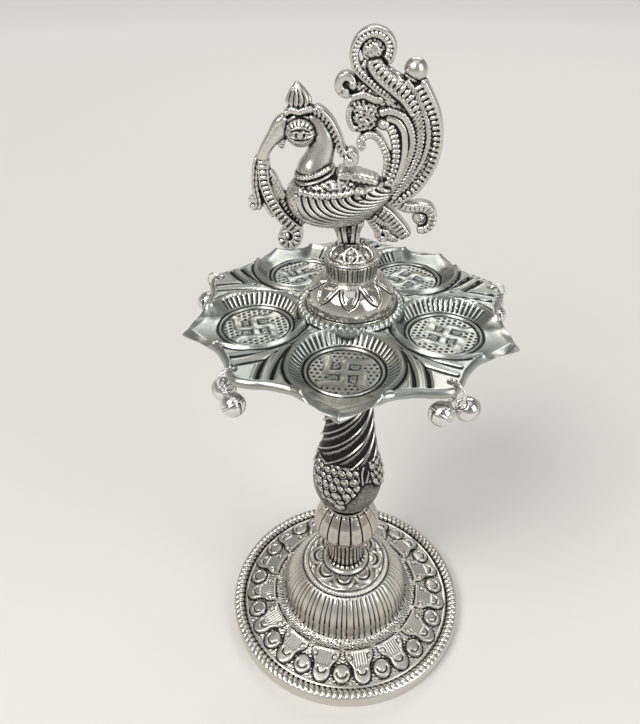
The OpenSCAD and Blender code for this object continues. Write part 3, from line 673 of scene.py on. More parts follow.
def make_tray():
    cols = 1080
    theta = (np.arange(cols) * 2 * PI / cols)[None, :]
    spoke = nearest_angle(theta, CUPS, -PI / 2)
    edge = tray_edge(spoke) + fringe(theta)
    bevel = 1.5 + 1.2 * (1 - smoothstep(math.radians(8), math.radians(14), abs(spoke)))
    under = tray_under(edge - 1.5, theta)
    brow = tray_top(edge - bevel, theta)
    rows = [(edge - 1.6, under), (edge - 0.7, under + 0.02), (edge - 0.2, under + 0.15),
            (edge, under + 0.45)]
    for i in range(1, 9):
        lift = PI / 2 * i / 9
        rows.append((edge - bevel * (1 - math.cos(lift)),
                     under + 0.45 + (brow - under - 0.45) * math.sin(lift)))
    for t in np.linspace(0, 1, 165):
        r = (edge - bevel) * (1 - t) + 11.6 * t
        rows.append((r, tray_top(r, theta)))
    full = np.ones_like(theta)
    rows += [(BORE_R * full, HUB_Z * full), (BORE_R * full, tray_low[2] * full),
             (HUB_R * full, tray_low[2] * full)]
    for t in np.linspace(0, 1, 30):
        r = (HUB_R + 0.05) * (1 - t) + (edge - 1.8) * t
        rows.append((r, tray_under(r, theta)))
    r = np.vstack([row[0] for row in rows])
    z = np.vstack([row[1] for row in rows])
    points = np.stack([r * np.cos(theta), r * np.sin(theta), z], -1).reshape(-1, 3)
    piece = make_piece("tray_cast", points, grid_faces(len(rows), cols, True, True))

    cutters = []
    around = np.arange(HOLE_SIDES) * 2 * PI / HOLE_SIDES
    for angle in hole_angles():
        x, y = HOLE_AT * math.cos(angle), HOLE_AT * math.sin(angle)
        wall = [(x + HOLE_R * math.cos(a), y + HOLE_R * math.sin(a), z) for z in HOLE_ENDS for a in around]
        ends = [(x, y, z) for z in HOLE_ENDS]
        cutters.append(make_piece("cutter", *tube(np.array(wall + ends), 2, HOLE_SIDES)))
    cut_holes(piece, cutters)
    by_hub = lambda r, z: -0.35 * between(14.0, 17.0, 0.6, r)
    finish_piece(piece, tray_metal, "lamp", "tray", "oxidised_cast", stain=by_hub)


make_tray()


# Dome and collar on the hub

def make_hub_dome():
    low, high = HUB_Z, dome_high[2]
    outside = np.vstack([[(9, low), (12.1, low), (12.1, low + 1.0)], arc((4.36, low + 1.4), 7.74, 0, 68, 36),
                         [(6.8, high)]])
    outside = np.vstack([resample(outside, 0.15), [(BORE_R, high)]])

    def relief(theta, r, z, s):
        # Rounded petals on the upper half, drawn by two lines each
        down = (high - 0.4) - z
        across = abs(nearest_angle(theta, 9, -PI / 2)) * r
        half = 2.75 * dome(down, 4.0) ** 1.2
        inner = half - 1.0
        line = np.maximum(ridge(across - half, 0.18), 0.8 * ridge(across - inner, 0.15) * (down < 2.6))
        h = 0.22 * smoothstep(0.1, 0.5, half - across) * (down < 4.0)
        h = h - 0.3 * line * between(0.2, 4.3, 0.25, down)
        return (h - 0.3 * ridge(z - low - 1.0, 0.2)) * (r > 5) * (z > low + 0.1)

    piece = lathe("hub_dome_cast", outside, [(BORE_R, low + 6), (9, low + 5)], 540, relief)
    finish_piece(piece, polished, "lamp", "hub_dome", "polished_cast")


make_hub_dome()


def make_collar():
    low, high = collar_low[2], collar_high[2]
    outside = [(BORE_R, low), (6.4, low), (6.7, low + 0.5), (7.3, high - 0.8), (7.4, high - 0.5),
               (7.4, high - 0.25), (7.1, high), (BORE_R, high)]

    def relief(theta, r, z, s):
        # Thin drawn lines of uneven strength, and a bright line along the upper edge
        strength = 0.55 + 0.45 * np.sin(5 * theta + 1.0) * np.sin(13 * theta)
        groove = ridge(nearest_angle(theta, 34) * r, 0.17) * strength
        groove = groove * between(low + 0.6, high - 0.9, 0.2, z)
        h = -0.34 * groove - 0.3 * ridge(z - low - 0.45, 0.15) - 0.3 * ridge(z - high + 0.85, 0.13)
        return h * (r > 6) * (z > low + 0.1) * (z < high - 0.02)

    piece = lathe("finial_collar_cast", resample(outside, 0.12), [(BORE_R, (low + high) / 2)], 540, relief)
    finish_piece(piece, polished, "lamp", "finial_collar", "polished_cast")


make_collar()


# Peacock: swept strands, scrolls and rounded bodies, joined into one casting

def sweep(line, relief=None, square=4.2, sides=40, step=0.2, cut=(0.9, 0.9)):
    """Closed tube along a line in the XZ plane, with a squarish oval section.

    Each point of the line is x, z, half width in the plane and half thickness across it.
    relief(s, c, x, z) raises the surface: s runs along the line and c from -1 to 1 across it.
    cut says how much of its half width each end takes to round off.
    """
    fine = smooth_curve(line, 12)
    length = np.concatenate([[0], np.cumsum(np.hypot(*np.diff(fine[:, :2], axis=0).T))])
    s = np.linspace(0, length[-1], max(8, int(length[-1] / step)))
    x, z, w, t = (np.interp(s, length, fine[:, i])[:, None] for i in range(4))
    tx, tz = np.gradient(x[:, 0]), np.gradient(z[:, 0])
    size = np.hypot(tx, tz)
    tx, tz = (tx / size)[:, None], (tz / size)[:, None]
    left = np.clip(s / (cut[0] * w[0, 0]), 0, 1)
    right = np.clip((s[-1] - s) / (cut[1] * w[-1, 0]), 0, 1)
    end = np.sqrt(1 - (1 - np.minimum(left, right)) ** 2)[:, None] * 0.97 + 0.03
    a = (np.arange(sides) * 2 * PI / sides)[None, :]
    c = np.sign(np.cos(a)) * abs(np.cos(a)) ** (2 / square)
    q = np.sign(np.sin(a)) * abs(np.sin(a)) ** (2 / square)
    u, y = c * w * end, q * t * end
    if relief is not None:
        nu, ny = c / w, q / t
        n = np.hypot(nu, ny)
        h = relief(s[:, None], c, x - tz * u, z + tx * u) * smoothstep(0.2, 0.9, end)
        u, y = u + h * nu / n, y + h * ny / n
    points = np.stack([x - tz * u, np.broadcast_to(y, u.shape), z + tx * u], -1).reshape(-1, 3)
    middle = np.array([[x[0, 0], 0, z[0, 0]], [x[-1, 0], 0, z[-1, 0]]])
    return tube(np.vstack([points, middle]), len(s), sides)


def oval(centre, radii, relief=None, rows=60, cols=90):
    """Closed oval body with its poles at -Y and +Y. relief(x, z, y) is measured from its centre."""
    polar = np.linspace(0, PI, rows + 1)[1:-1][:, None]
    turn = (np.arange(cols) * 2 * PI / cols)[None, :]
    way = np.stack([np.sin(polar) * np.cos(turn), -np.cos(polar) * np.ones_like(turn),
                    np.sin(polar) * np.sin(turn)], -1)
    poles = np.array([[0.0, -1, 0], [0, 1, 0]])
    way = np.vstack([way.reshape(-1, 3), poles])
    points = way * radii
    if relief is not None:
        normal = way / radii
        normal /= np.linalg.norm(normal, axis=1, keepdims=True)
        points = points + normal * relief(points[:, 0], points[:, 2], points[:, 1])[:, None]
    return tube(points + np.asarray(centre), rows - 1, cols)


def joined(parts):
    """One set of points and faces from several."""
    points, quads, tris, count = [], [], [], 0
    for part in parts:
        points.append(part[0])
        quads.append(part[1] + count)
        tris.append(part[2] + count)
        count += len(part[0])
    return np.vstack(points), np.vstack(quads), np.vstack(tris)


def scroll(centre, r, start, turns, w, t, wind=0.75, steps=10):
    """Points of a sweep that winds in from radius r, starting at an angle in degrees."""
    points = []
    for i in range(steps + 1):
        part = i / steps
        a = math.radians(start + turns * 360 * part)
        d = (r - w) * (1 - wind * part)
        points.append((centre[0] + d * math.cos(a), centre[1] + d * math.sin(a), w * (1 - 0.3 * part), t))
    return points


def ribbed(pitch, depth, slope=0.0, low=-0.8, high=0.8):
    """Cross grooves, slanted by slope, on the share of the width between low and high."""
    def relief(s, c, x, z):
        groove = ridge(nearest(s + slope * c, pitch), 0.2 * pitch)
        return -0.8 * depth * groove * between(low, high, 0.06, c)
    return relief


def edged(inner, at, height):
    """The inner relief between two raised borders."""
    def relief(s, c, x, z):
        border = height * ridge(abs(c) - at - 0.12, 0.1) - 0.25 * ridge(abs(c) - at + 0.05, 0.06)
        return inner(s, c, x, z) * (abs(c) < at) + border
    return relief


def stippled(scale, depth, seed):
    """Stipple for an oval body."""
    return lambda x, z, y: depth * speckle(x, y, z, scale, seed)


def wing_relief(s, c, x, z):
    """Curved flutes below the wing's scalloped edge, stipple above it and on the chest."""
    line = 168.1 + 0.012 * (x + 7) ** 2
    drop = np.maximum(line - z, 0)
    bend = 0.045 + 0.014 * np.clip(x + 12, 0, 20)
    flow = x - bend * drop ** 2
    feathers = smoothstep(0.6, 1.4, line - z) * smoothstep(-14.2, -12.6, x - 0.1 * drop)
    flutes = 0.2 - 0.65 * ridge(nearest(flow, 1.75), 0.34) - 0.12 * ridge(nearest(flow + 0.87, 1.75), 0.2)
    tooth = np.hypot(nearest(x, 1.4), (z - line) * 0.85)
    teeth = 0.6 * dome(tooth, 0.75) * between(-13.6, 2.0, 0.3, x)
    tip = 0.9 * dome(np.hypot((x - 1.8) / 1.5, (z - 168.7) / 0.9), 1.0)
    tip = tip - 0.5 * ridge(np.hypot((x - 1.6) / 1.6, (z - 167.9) / 1.1) - 1, 0.2) * (z < 168.2)
    rough = 0.12 * speckle(x, z, c * 6, 1.2, 11) * (1 - feathers) * (abs(z - line) > 0.8)
    return feathers * flutes + teeth + tip + rough


def eye_relief(x, z, y):
    """An almond eye in rings, with a flower of lines over it."""
    lid = abs(z + 0.3) / (1.75 * np.clip(1 - ((x - 0.2) / 3.3) ** 2, 0.02, 1))
    h = 0.35 * ridge(lid - 1.0, 0.18) - 0.4 * ridge(lid - 0.72, 0.14) + 0.3 * ridge(lid - 0.45, 0.15)
    h = h + 0.5 * dome(np.hypot(x - 0.2, z + 0.3), 0.75) - 0.3 * ridge(np.hypot(x - 0.2, z + 0.3) - 1.0, 0.2)
    petal = np.hypot(x, z + 0.3)
    line = ridge(nearest(np.arctan2(z + 0.3, x) * 4.2, 1.5), 0.25)
    h = h - 0.35 * line * between(2.2, 3.5, 0.2, petal) * (z > 0.6)
    return h * smoothstep(1.0, 2.4, abs(y)) - 0.45 * ridge(petal - 3.75, 0.2)


def strand(points, w, t):
    """Points of a sweep from places in the plane. w and t are one value, or a pair from first to last."""
    count = len(points)
    wide = np.linspace(*w, count) if isinstance(w, tuple) else np.full(count, w)
    thick = np.linspace(*t, count) if isinstance(t, tuple) else np.full(count, t)
    return [(x, z, wide[i], thick[i]) for i, (x, z) in enumerate(points)]


def body_parts():
    """Body with its folded wing, neck, head and crest."""
    yield sweep([(-16.7, 165.6, 0.8, 1.2), (-15.6, 165.6, 3.4, 3.4), (-13.5, 165.5, 5.4, 5.2),
                 (-10, 165.3, 6.8, 6.6), (-5, 165.1, 7.2, 7.1), (0, 165.5, 6.5, 6.3), (4, 166.5, 4.9, 5.0),
                 (7.5, 167.8, 3.0, 3.4), (9.6, 168.8, 2.0, 2.6)], wing_relief, square=2.1, sides=220,
                step=0.16)
    neck_line = [(-10.2, 168.6, 5.2, 5.2), (-9.5, 171.8, 4.5, 4.7), (-8.3, 175, 3.6, 3.6),
                 (-7.4, 178, 3.1, 2.9), (-7.6, 180.6, 3.0, 2.5), (-9.4, 183.2, 3.0, 2.2),
                 (-12.0, 183.8, 3.0, 2.2)]
    yield sweep(neck_line, square=2.1, sides=80)
    yield sweep([(-14.4, 171.2, 0.7, 2.2), (-12.0, 171.4, 0.8, 4.5), (-9.1, 172.1, 0.8, 5.1),
                 (-6.6, 173.1, 0.8, 4.3), (-4.9, 174.0, 0.7, 2.6)], ribbed(0.8, 0.35), sides=70)
    yield sweep([(-14.1, 170.0, 0.4, 2.2), (-12.0, 170.2, 0.4, 5.2), (-9.0, 170.9, 0.4, 5.9),
                 (-6.4, 171.8, 0.4, 5.0), (-4.4, 172.6, 0.4, 3.0)], sides=60)
    yield oval((-12.4, 0, 181.7), (4.2, 4.3, 4.2), eye_relief, 90, 140)
    crest = lambda s, c, x, z: -0.5 * ridge(nearest(c + 0.03 * s, 0.42), 0.08) * smoothstep(0.3, 1.0, s)
    yield sweep([(-12.7, 186.2, 2.2, 2.2), (-12.75, 187.5, 3.0, 2.3), (-12.8, 188.7, 3.1, 2.1),
                 (-13.0, 190.4, 2.1, 1.7), (-13.1, 191.6, 1.0, 1.1), (-13.2, 192.4, 0.4, 0.6)], crest,
                square=2.2, sides=80, step=0.14)
    yield sweep([(-16.2, 185.3, 0.6, 2.2), (-14.4, 186.4, 0.8, 2.6), (-12.6, 186.1, 0.8, 2.8),
                 (-10.6, 186.6, 0.8, 2.6), (-9.2, 186.0, 0.6, 2.0)], ribbed(1.2, 0.3))
    mane = [(-9.6, 186.7), (-7.6, 185.7), (-5.9, 184), (-4.7, 182), (-3.7, 179.8), (-3.0, 177.6),
            (-1.8, 175.6)]
    yield sweep(strand(mane, 1.15, 2.1), ribbed(1.2, 0.6, 0.5, -1.2, 0.35))
    yield sweep(scroll((-0.9, 175.2), 2.7, 120, -1.1, 1.0, 2.2))
    yield oval((-0.8, 0, 175.1), (1.0, 2.5, 1.0))
    yield sweep([(-4.5, 171.4, 1.6, 4.2), (-1.5, 171.0, 1.8, 3.9), (2.5, 170.2, 1.8, 3.5),
                 (6.5, 169.4, 1.4, 2.9)], lambda s, c, x, z: 0.06 * speckle(x, z, c * 4, 1.2, 5))


def garland_parts():
    """Beak, the garlands that hang from it and the leaf that ties them to the breast."""
    mouth = lambda s, c, x, z: -0.4 * ridge(c + 0.25, 0.14)
    yield sweep([(-14.6, 183.6, 2.6, 2.3), (-17.0, 182.4, 2.3, 2.3), (-18.9, 180.1, 1.75, 2.2),
                 (-21.1, 176.9, 1.45, 2.1), (-22.2, 174.0, 1.5, 2.0)], mouth)
    yield sweep([(-16.8, 180.4, 1.1, 1.8), (-17.1, 178.6, 0.9, 1.6), (-17.0, 177.2, 0.4, 1.1)],
                ribbed(0.7, 0.2))
    inner = [(-21.5, 174.9), (-21.7, 172.5), (-21.6, 169.1), (-20.7, 165.8), (-19.5, 163.2), (-18.1, 160.8),
             (-16.3, 158.8), (-14.5, 157.1)]
    yield sweep(strand(inner, (1.2, 1.6), 2.1) + scroll((-16.5, 154.8), 4.0, 20, -0.9, 1.25, 2.0),
                edged(ribbed(1.3, 0.55), 0.72, 0.2))
    outer = [(-22.9, 175.4), (-23.7, 172.4), (-24.1, 168.5), (-23.9, 166), (-23.6, 163.8), (-23.9, 161.6)]
    cord = lambda s, c, x, z: -0.35 * ridge(c, 0.16) - 0.2 * ridge(nearest(s, 1.5), 0.2)
    yield sweep(strand(outer, (0.9, 1.0), 1.7), cord)
    yield sweep([(-23.8, 164.0, 0.7, 1.5), (-25.1, 164.4, 0.9, 1.4), (-26.0, 163.8, 0.5, 1.0)],
                ribbed(0.7, 0.25))
    yield sweep([(-23.9, 162.2, 0.7, 1.5), (-25.2, 162.5, 0.8, 1.4), (-26.0, 162.0, 0.4, 1.0)],
                ribbed(0.7, 0.25))
    yield sweep(strand([(-22.6, 167), (-22.2, 164.4), (-21.3, 162), (-19.6, 159.8)], (0.9, 0.7), 0.9))
    tie = [(-21.0, 171.8), (-19.7, 170.3), (-18.9, 168.6), (-17.9, 166.4), (-16.6, 164.8)]
    yield sweep(strand(tie, 0.9, 1.5), ribbed(0.9, 0.35, 0.5))
    yield sweep([(-17.4, 165.2, 1.0, 1.2), (-15.8, 162.4, 1.9, 1.3), (-14, 160.1, 1.9, 1.3),
                 (-12.0, 158.2, 1.0, 1.2)], ribbed(1.0, 0.3, 0.6))
    yield oval((-17.0, 0, 155.2), (1.5, 2.3, 1.5))


def tail_parts():
    """Raised tail: plumes side by side from the innermost out, their ground and the scrolls at the top."""
    t = 2.5
    curl = [(2.5, 177.4), (1.4, 179.0), (2.4, 180.5), (4.1, 181.1), (5.8, 180), (7.2, 177.8), (7.9, 175.6),
            (8, 173.2), (7.6, 170.6)]
    yield sweep(strand(curl, (0.8, 1.0), 2.1), ribbed(0.95, 0.45))
    plume = [(7.6, 168.2), (8.9, 171.0), (9.6, 173.2), (9.9, 175.4), (9.9, 177.4), (9.6, 179.6),
             (8.9, 181.8), (7.8, 183.6)]
    yield sweep(strand(plume, (0.95, 1.2), t), ribbed(1.15, 0.5, 0, -0.85, 0.95))
    yield oval((6.9, 0, 183.5), (1.9, t + 0.2, 1.6))
    band = [(8.6, 167.8), (10.7, 171.6), (11.8, 175.7), (11.9, 178.9), (11.6, 181.5), (10.9, 183),
            (9.6, 184.4), (7.0, 185.2)]
    yield sweep(strand(band, 0.85, 2.4))
    plume = [(8.8, 166.8), (10.9, 170.5), (12.1, 173.3), (13.2, 176.7), (13.6, 179.2), (13.3, 181.5),
             (12.4, 183.7), (10.8, 185.6), (8, 186.5), (5.4, 185.9)]
    yield sweep(strand(plume, (0.8, 0.9), t), ribbed(0.8, 0.36, 0.8))
    hatch = lambda s, c: -0.36 * ridge(nearest(s + 0.8 * c, 0.85), 0.21) * (abs(c) < 0.85)
    bars = lambda s, c: -0.4 * ridge(nearest(s, 1.25), 0.28) * between(-0.85, 0.1, 0.02, c)
    tip = lambda s, c: bars(s, c) + 0.25 * ridge(c - 0.55, 0.2) - 0.5 * ridge(c - 0.12, 0.09)
    tongue = lambda s, c, x, z: np.where(s < 22, hatch(s, c), tip(s, c))
    yield sweep([(9.6, 165.6, 0.8, t), (12.6, 170.8, 1.0, t), (13.9, 173.7, 1.0, t), (14.9, 176.7, 1.05, t),
                 (15.3, 179.7, 1.1, t), (15.1, 182.6, 1.2, t), (14.1, 185.6, 1.5, t),
                 (11.8, 189.2, 1.85, t + 0.1), (9.3, 191.4, 1.9, t + 0.2), (6.6, 193.6, 1.95, t + 0.5),
                 (4.6, 195.8, 1.9, t + 0.6), (4.0, 197.6, 1.7, t + 0.6)], tongue, cut=(0.9, 0.35))
    rope = [(11.6, 167.6), (14.7, 172.5), (16.1, 175.3), (16.8, 177.9), (17.1, 180.5), (16.7, 183.5),
            (15.7, 186.2), (13.8, 190), (11.0, 193.2)]
    yield sweep(strand(rope, (0.55, 0.8), 2.3), ribbed(0.8, 0.38, 0.8))

    def outer(s, c, x, z):
        bar = -0.4 * ridge(nearest(s, 1.25), 0.28) * between(-0.1, 0.85, 0.06, c)
        return bar + 0.25 * ridge(c + 0.6, 0.2) - 0.45 * ridge(c + 0.15, 0.09)

    yield sweep([(10.2, 164.6, 0.9, 2.2), (14.3, 167.7, 1.2, 2.3), (16.5, 170.6, 1.3, 2.3),
                 (18.2, 173.8, 1.3, 2.3), (19.1, 177.4, 1.3, 2.3), (19.3, 180.5, 1.3, 2.3),
                 (18.8, 183.6, 1.4, 2.3), (17.8, 186.4, 1.6, 2.3), (15.8, 189.8, 1.8, 2.3),
                 (13.7, 193.2, 1.9, 2.3)], outer)
    yield oval((13.2, 0, 194.9), (2.65, 2.7, 2.75), lambda x, z, y: -0.35 * ridge(z + 1.6 + 0.5 * x, 0.25))
    ground = lambda s, c, x, z: 0.12 * speckle(x, z, c * 4, 1.0, 8)
    yield sweep([(9, 166.4, 1.5, 2.0), (14.4, 173, 3.4, 2.0), (15.9, 179.4, 4.0, 2.0), (14, 186, 4.0, 2.0),
                 (9, 190.6, 3.6, 2.0), (4.5, 194, 3.0, 2.0), (3.6, 198, 2.6, 2.0)], ground, sides=70)
    yield sweep([(9.0, 169.0, 1.4, 2.0), (11, 174, 1.9, 2.0), (11.4, 178.4, 2.0, 2.0),
                 (10.4, 182.4, 2.0, 2.0), (8.6, 184.8, 1.6, 2.0), (6.4, 185.2, 1.2, 2.0)])
    # Scrolls and stippled leaves at the top
    rim = [(8.3, 189.2), (5.3, 191.1), (3.3, 192.7), (1.3, 194.4), (0.1, 196.0), (-0.3, 198.4), (0.5, 200.8),
           (2.1, 202.2), (4.2, 202.7), (6.4, 201.8), (7.6, 200.0), (7.4, 197.9), (6.4, 196.6)]
    hem = lambda s, c, x, z: ribbed(0.9, 0.5, 0, -0.8, 0.42)(s, c, x, z) - 0.45 * ridge(c - 0.46, 0.08)
    yield sweep(strand(rim, (0.9, 1.3), 2.3), hem)

    def boss(x, z, y):
        far = np.hypot(x, z)
        return 0.1 * speckle(x, y, z, 0.8, 2) + 0.25 * ridge(far - 2.2, 0.25) - 0.3 * ridge(far - 2.75, 0.2)

    yield oval((3.9, 0, 198.9), (2.9, 2.1, 2.9), boss)
    below = lambda s, c, x, z: ribbed(1.1, 0.4)(s, c, x, z) * (z < 191)
    yield sweep(scroll((-1.8, 192.1), 3.2, -60, -1.0, 1.2, 2.2, 0.35), below)
    yield oval((-1.8, 0, 192.1), (2.5, 1.7, 2.5), stippled(1.0, 0.1, 9))
    yield oval((-0.6, 0, 192.3), (1.15, 2.5, 1.15))
    yield oval((2.3, 0, 185.4), (3.9, 1.8, 4.4), stippled(0.9, 0.16, 4), 70, 120)
    yield sweep(strand([(-0.6, 187.6), (-1.3, 185.6), (-0.9, 183.4), (0.4, 181.8)], 0.7, 1.9),
                ribbed(0.8, 0.35))
    yield oval((4.6, 0, 190.4), (3.4, 1.7, 2.4), stippled(0.9, 0.14, 6), 50, 90)
    yield oval((1.2, 0, 191.4), (2.6, 1.6, 2.5), stippled(0.9, 0.14, 7), 50, 90)
    bar = [(-1.0, 189.2), (0.6, 189.6), (2.2, 189.9), (4.7, 188.9), (6.8, 188.9)]
    yield sweep(strand(bar, (0.8, 0.9), 2.2), ribbed(0.8, 0.35, 0.8))


def lower_parts():
    """Lower tail feathers and the legs."""
    bars = lambda s, c, x, z: ribbed(1.16, 0.5, 0, -0.85, 0.5)(s, c, x, z) - 0.4 * ridge(c - 0.56, 0.07)
    yield sweep([(4.2, 164.8, 1.4, 2.2), (6.7, 163.1, 1.6, 2.3), (9, 161.4, 1.7, 2.4),
                 (11.1, 159.1, 1.7, 2.4), (12.9, 156.9, 1.65, 2.4), (13.8, 155.6, 1.6, 2.3)], bars,
                cut=(0.9, 0.35))
    hook = [(8.3, 166.4, 1.5, 2.1), (10.8, 164.9, 1.4, 2.1), (12.6, 163.8, 1.3, 2.1),
            (14.6, 163.5, 1.25, 2.1), (16.8, 163.8, 1.25, 2.2), (18.8, 163.1, 1.25, 2.2),
            (19.7, 161.2, 1.2, 2.2), (19.2, 159.0, 1.1, 2.2), (17.7, 157.9, 1.0, 2.1),
            (16.0, 158.0, 0.8, 2.0)]
    yield sweep(hook, ribbed(1.1, 0.42))
    yield oval((17.2, 0, 161.1), (2.5, 1.7, 2.5))
    yield oval((17.2, 0, 161.2), (1.0, 2.4, 1.0))
    yield sweep(strand([(2.8, 162.4), (5, 161), (7, 160.0), (8.4, 159.3)], (1.2, 0.8), 2.0),
                ribbed(0.9, 0.3))
    curl = scroll((7.9, 156.4), 2.5, 150, 0.95, 1.0, 2.1, 0.5)
    yield sweep([(3.4, 162.2, 1.1, 2.0), (5.0, 159.4, 1.0, 2.1)] + curl, ribbed(0.95, 0.35))
    yield oval((7.9, 0, 156.4), (1.8, 1.5, 1.8))
    yield sweep([(8.6, 156.0, 1.2, 1.9), (10.4, 155.2, 1.0, 1.8), (11.9, 154.6, 0.4, 1.2)],
                ribbed(0.8, 0.3, 0.8))
    groove = lambda s, c, x, z: -0.4 * ridge(nearest(c, 0.6), 0.1)
    yield sweep([(-3.4, 160.5, 2.6, 3.2), (-2.9, 157, 1.5, 1.9), (-2.3, 153.6, 1.4, 1.9),
                 (-2.6, 151.6, 2.0, 2.4)], groove)
    yield sweep([(1.6, 160.5, 2.2, 2.8), (1.0, 157, 1.2, 1.7), (0.8, 153.6, 1.3, 1.8),
                 (1.2, 151.6, 2.2, 2.4)], groove)
    yield sweep([(-0.8, 160, 1.6, 1.4), (-0.7, 152, 1.2, 1.1)])


def bird_mound():
    """Flower under the feet: boldly cut petals with a bud between each two."""
    low = bird_low[2]
    outside = resample([(0.05, low), (6.1, low), (6.2, low + 0.5), (5.4, low + 1.9), (4.0, low + 3.1),
                        (3.0, low + 3.6), (0.05, low + 3.6)], 0.12)

    def relief(theta, r, z, s):
        up = z - low
        across = abs(nearest_angle(theta, 7, -PI / 2)) * r
        half = 1.9 * dome(up - 1.7, 1.7)
        petal = 0.4 * ridge(across - half, 0.32) + 0.4 * dome(np.hypot(across, up - 1.5), 0.8)
        bud = np.hypot(nearest_angle(theta, 7, -PI / 2 + PI / 7) * r, up - 2.3)
        return (np.maximum(petal, 0.4 * dome(bud, 0.7)) - 0.3) * smoothstep(0.2, 0.5, up) * (r > 2.6)

    return turned_solid(outside, 240, relief)


def make_peacock():
    parts = [*body_parts(), *garland_parts(), *tail_parts(), *lower_parts(), bird_mound()]
    piece = make_piece("peacock_cast", *joined(parts))
    join = piece.modifiers.new("join", "REMESH")
    join.mode = "VOXEL"
    join.voxel_size = 0.16 * MM
    join.use_smooth_shade = True
    bake_modifiers(piece)
    finish_piece(piece, aged, "lamp", "peacock", "oxidised_cast", depth=(0.12, 0.38))


make_peacock()


# Rings and bells

RING_R, RING_WIRE = 2.5, 0.35
BRIDGE_R, RING_Z = 43.25, 132.65
EYE_OFFSET, EYE_R, EYE_WIRE, NECK_R = 1.1, 0.95, 0.28, 0.5
BELL_R, BELL_ARM, BELL_GAP = 3.2, 4.6, 0.3
BELL_SPLAY = math.asin(math.sqrt((BELL_R + BELL_GAP / 2) ** 2 - EYE_OFFSET**2) / BELL_ARM)


def torus(r, wire, cols, sides, gap=0.0, relief=0.0):
    """Wire ring about the Z axis. gap is the angle of the slit where its ends meet."""
    a = (np.arange(sides) * 2 * PI / sides)[None, :]
    turn = np.linspace(gap / 2, 2 * PI - gap / 2, cols)[:, None]
    size = wire * (1 - relief * np.exp(-(np.minimum(turn, 2 * PI - turn) / 0.12) ** 2))
    ring_r = r + size * np.cos(a)
    points = np.stack([ring_r * np.cos(turn), ring_r * np.sin(turn), size * np.sin(a) + 0 * turn],
                      -1).reshape(-1, 3)
    x, y = r * math.cos(gap / 2), r * math.sin(gap / 2)
    return tube(np.vstack([points, [(x, y, 0), (x, -y, 0)]]), cols, sides)


def bell_shell():
    """Hollow ball with a rolled seam round its middle, a dimpled crown and a slit across its lower half."""
    rows, cols = 72, 128
    polar = np.linspace(0.02, PI - 0.02, rows)[:, None]
    turn = (np.arange(cols) * 2 * PI / cols)[None, :]
    x, y = np.sin(polar) * np.cos(turn), np.sin(polar) * np.sin(turn)
    way = np.stack([x, y, np.cos(polar) + 0 * turn], -1)
    seam = 0.09 * ridge(way[..., 2], 0.035) - 0.07 * ridge(abs(way[..., 2]) - 0.09, 0.03)
    crown = -0.12 * ridge(np.hypot(way[..., 0], way[..., 1]) - 0.36, 0.05) * (way[..., 2] > 0)
    slit = smoothstep(0.30, 0.42, abs(way[..., 0] * BELL_R)) + smoothstep(0.05, 0.25, way[..., 2] + 0.25)
    groove = -0.26 * (1 - np.clip(slit, 0, 1))
    r = BELL_R - 0.05 + seam + crown + groove
    outer = (way * r[..., None]).reshape(-1, 3)
    ends = [(0, 0, BELL_R - 0.05), (0, 0, -BELL_R + 0.05 + 0.26)]
    return tube(np.vstack([outer, ends]), rows, cols)


def moved(part, matrix):
    m = np.array(matrix)
    return part[0] @ m[:3, :3].T + m[:3, 3], part[1], part[2]


def neck():
    low, high = BELL_R - 0.35, BELL_ARM - EYE_R + 0.1
    outside = [(0.02, low), (NECK_R * 1.9, low), (NECK_R, low + 0.55), (NECK_R * 0.9, high), (0.02, high)]
    return turned_solid(resample(outside, 0.08), 32, lambda theta, r, z, s: 0 * theta * r)


def make_bells():
    hang = RING_Z - math.sqrt(RING_R**2 - EYE_OFFSET**2)
    upright = Matrix.Rotation(PI / 2, 4, "X") @ Matrix.Rotation(0.9, 4, "Z")
    upright = Matrix.Translation((0, 0, RING_Z)) @ upright
    down = Matrix.Translation((0, 0, -BELL_ARM))
    wire = torus(RING_R, RING_WIRE, 96, 20, 0.03, 0.12)
    eye = moved(torus(EYE_R, EYE_WIRE, 60, 16), Matrix.Rotation(PI / 2, 4, "Y"))
    parts = joined([moved(bell_shell(), down), moved(neck(), down), eye])
    for k, angle in enumerate(hole_angles(), 1):
        at_lobe = Matrix.Rotation(angle, 4, "Z") @ Matrix.Translation((BRIDGE_R, 0, 0))
        ring = make_piece(f"ring_{k}_wire", *moved(wire, at_lobe @ upright))
        finish_piece(ring, plated, f"ring_{k}", f"ring_{k}", "bright_plate", spread=(4, 12))
        for letter, side in (("a", -1), ("b", 1)):
            place = at_lobe @ Matrix.Translation((side * EYE_OFFSET, 0, hang))
            place = place @ Matrix.Rotation(side * BELL_SPLAY, 4, "X")
            name = f"bell_{k}{letter}"
            bell = make_piece(f"{name}_plated", *moved(parts, place))
            finish_piece(bell, plated, name, name, "bright_plate", spread=(6, 30))


make_bells()


# Rod, washer, nut and pellets keep their CAD shapes

for name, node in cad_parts.items():
    if name in ("tie_rod", "base_washer", "base_nut") or name.startswith("pellet"):
        node.data.materials.clear()
        node.data.materials.append(steel)


# Camera: fitted to the photograph's view, which is 640 by 724 pixels

FOCAL_PX, LONG_SIDE_PX = 660.0, 724.0
SENSOR_MM = 36.0
CAMERA_AT = (7.378, -155.596, 228.38)
CAMERA_YAW, CAMERA_PITCH, CAMERA_ROLL = math.radians(5.9), 0.62877, -0.01298


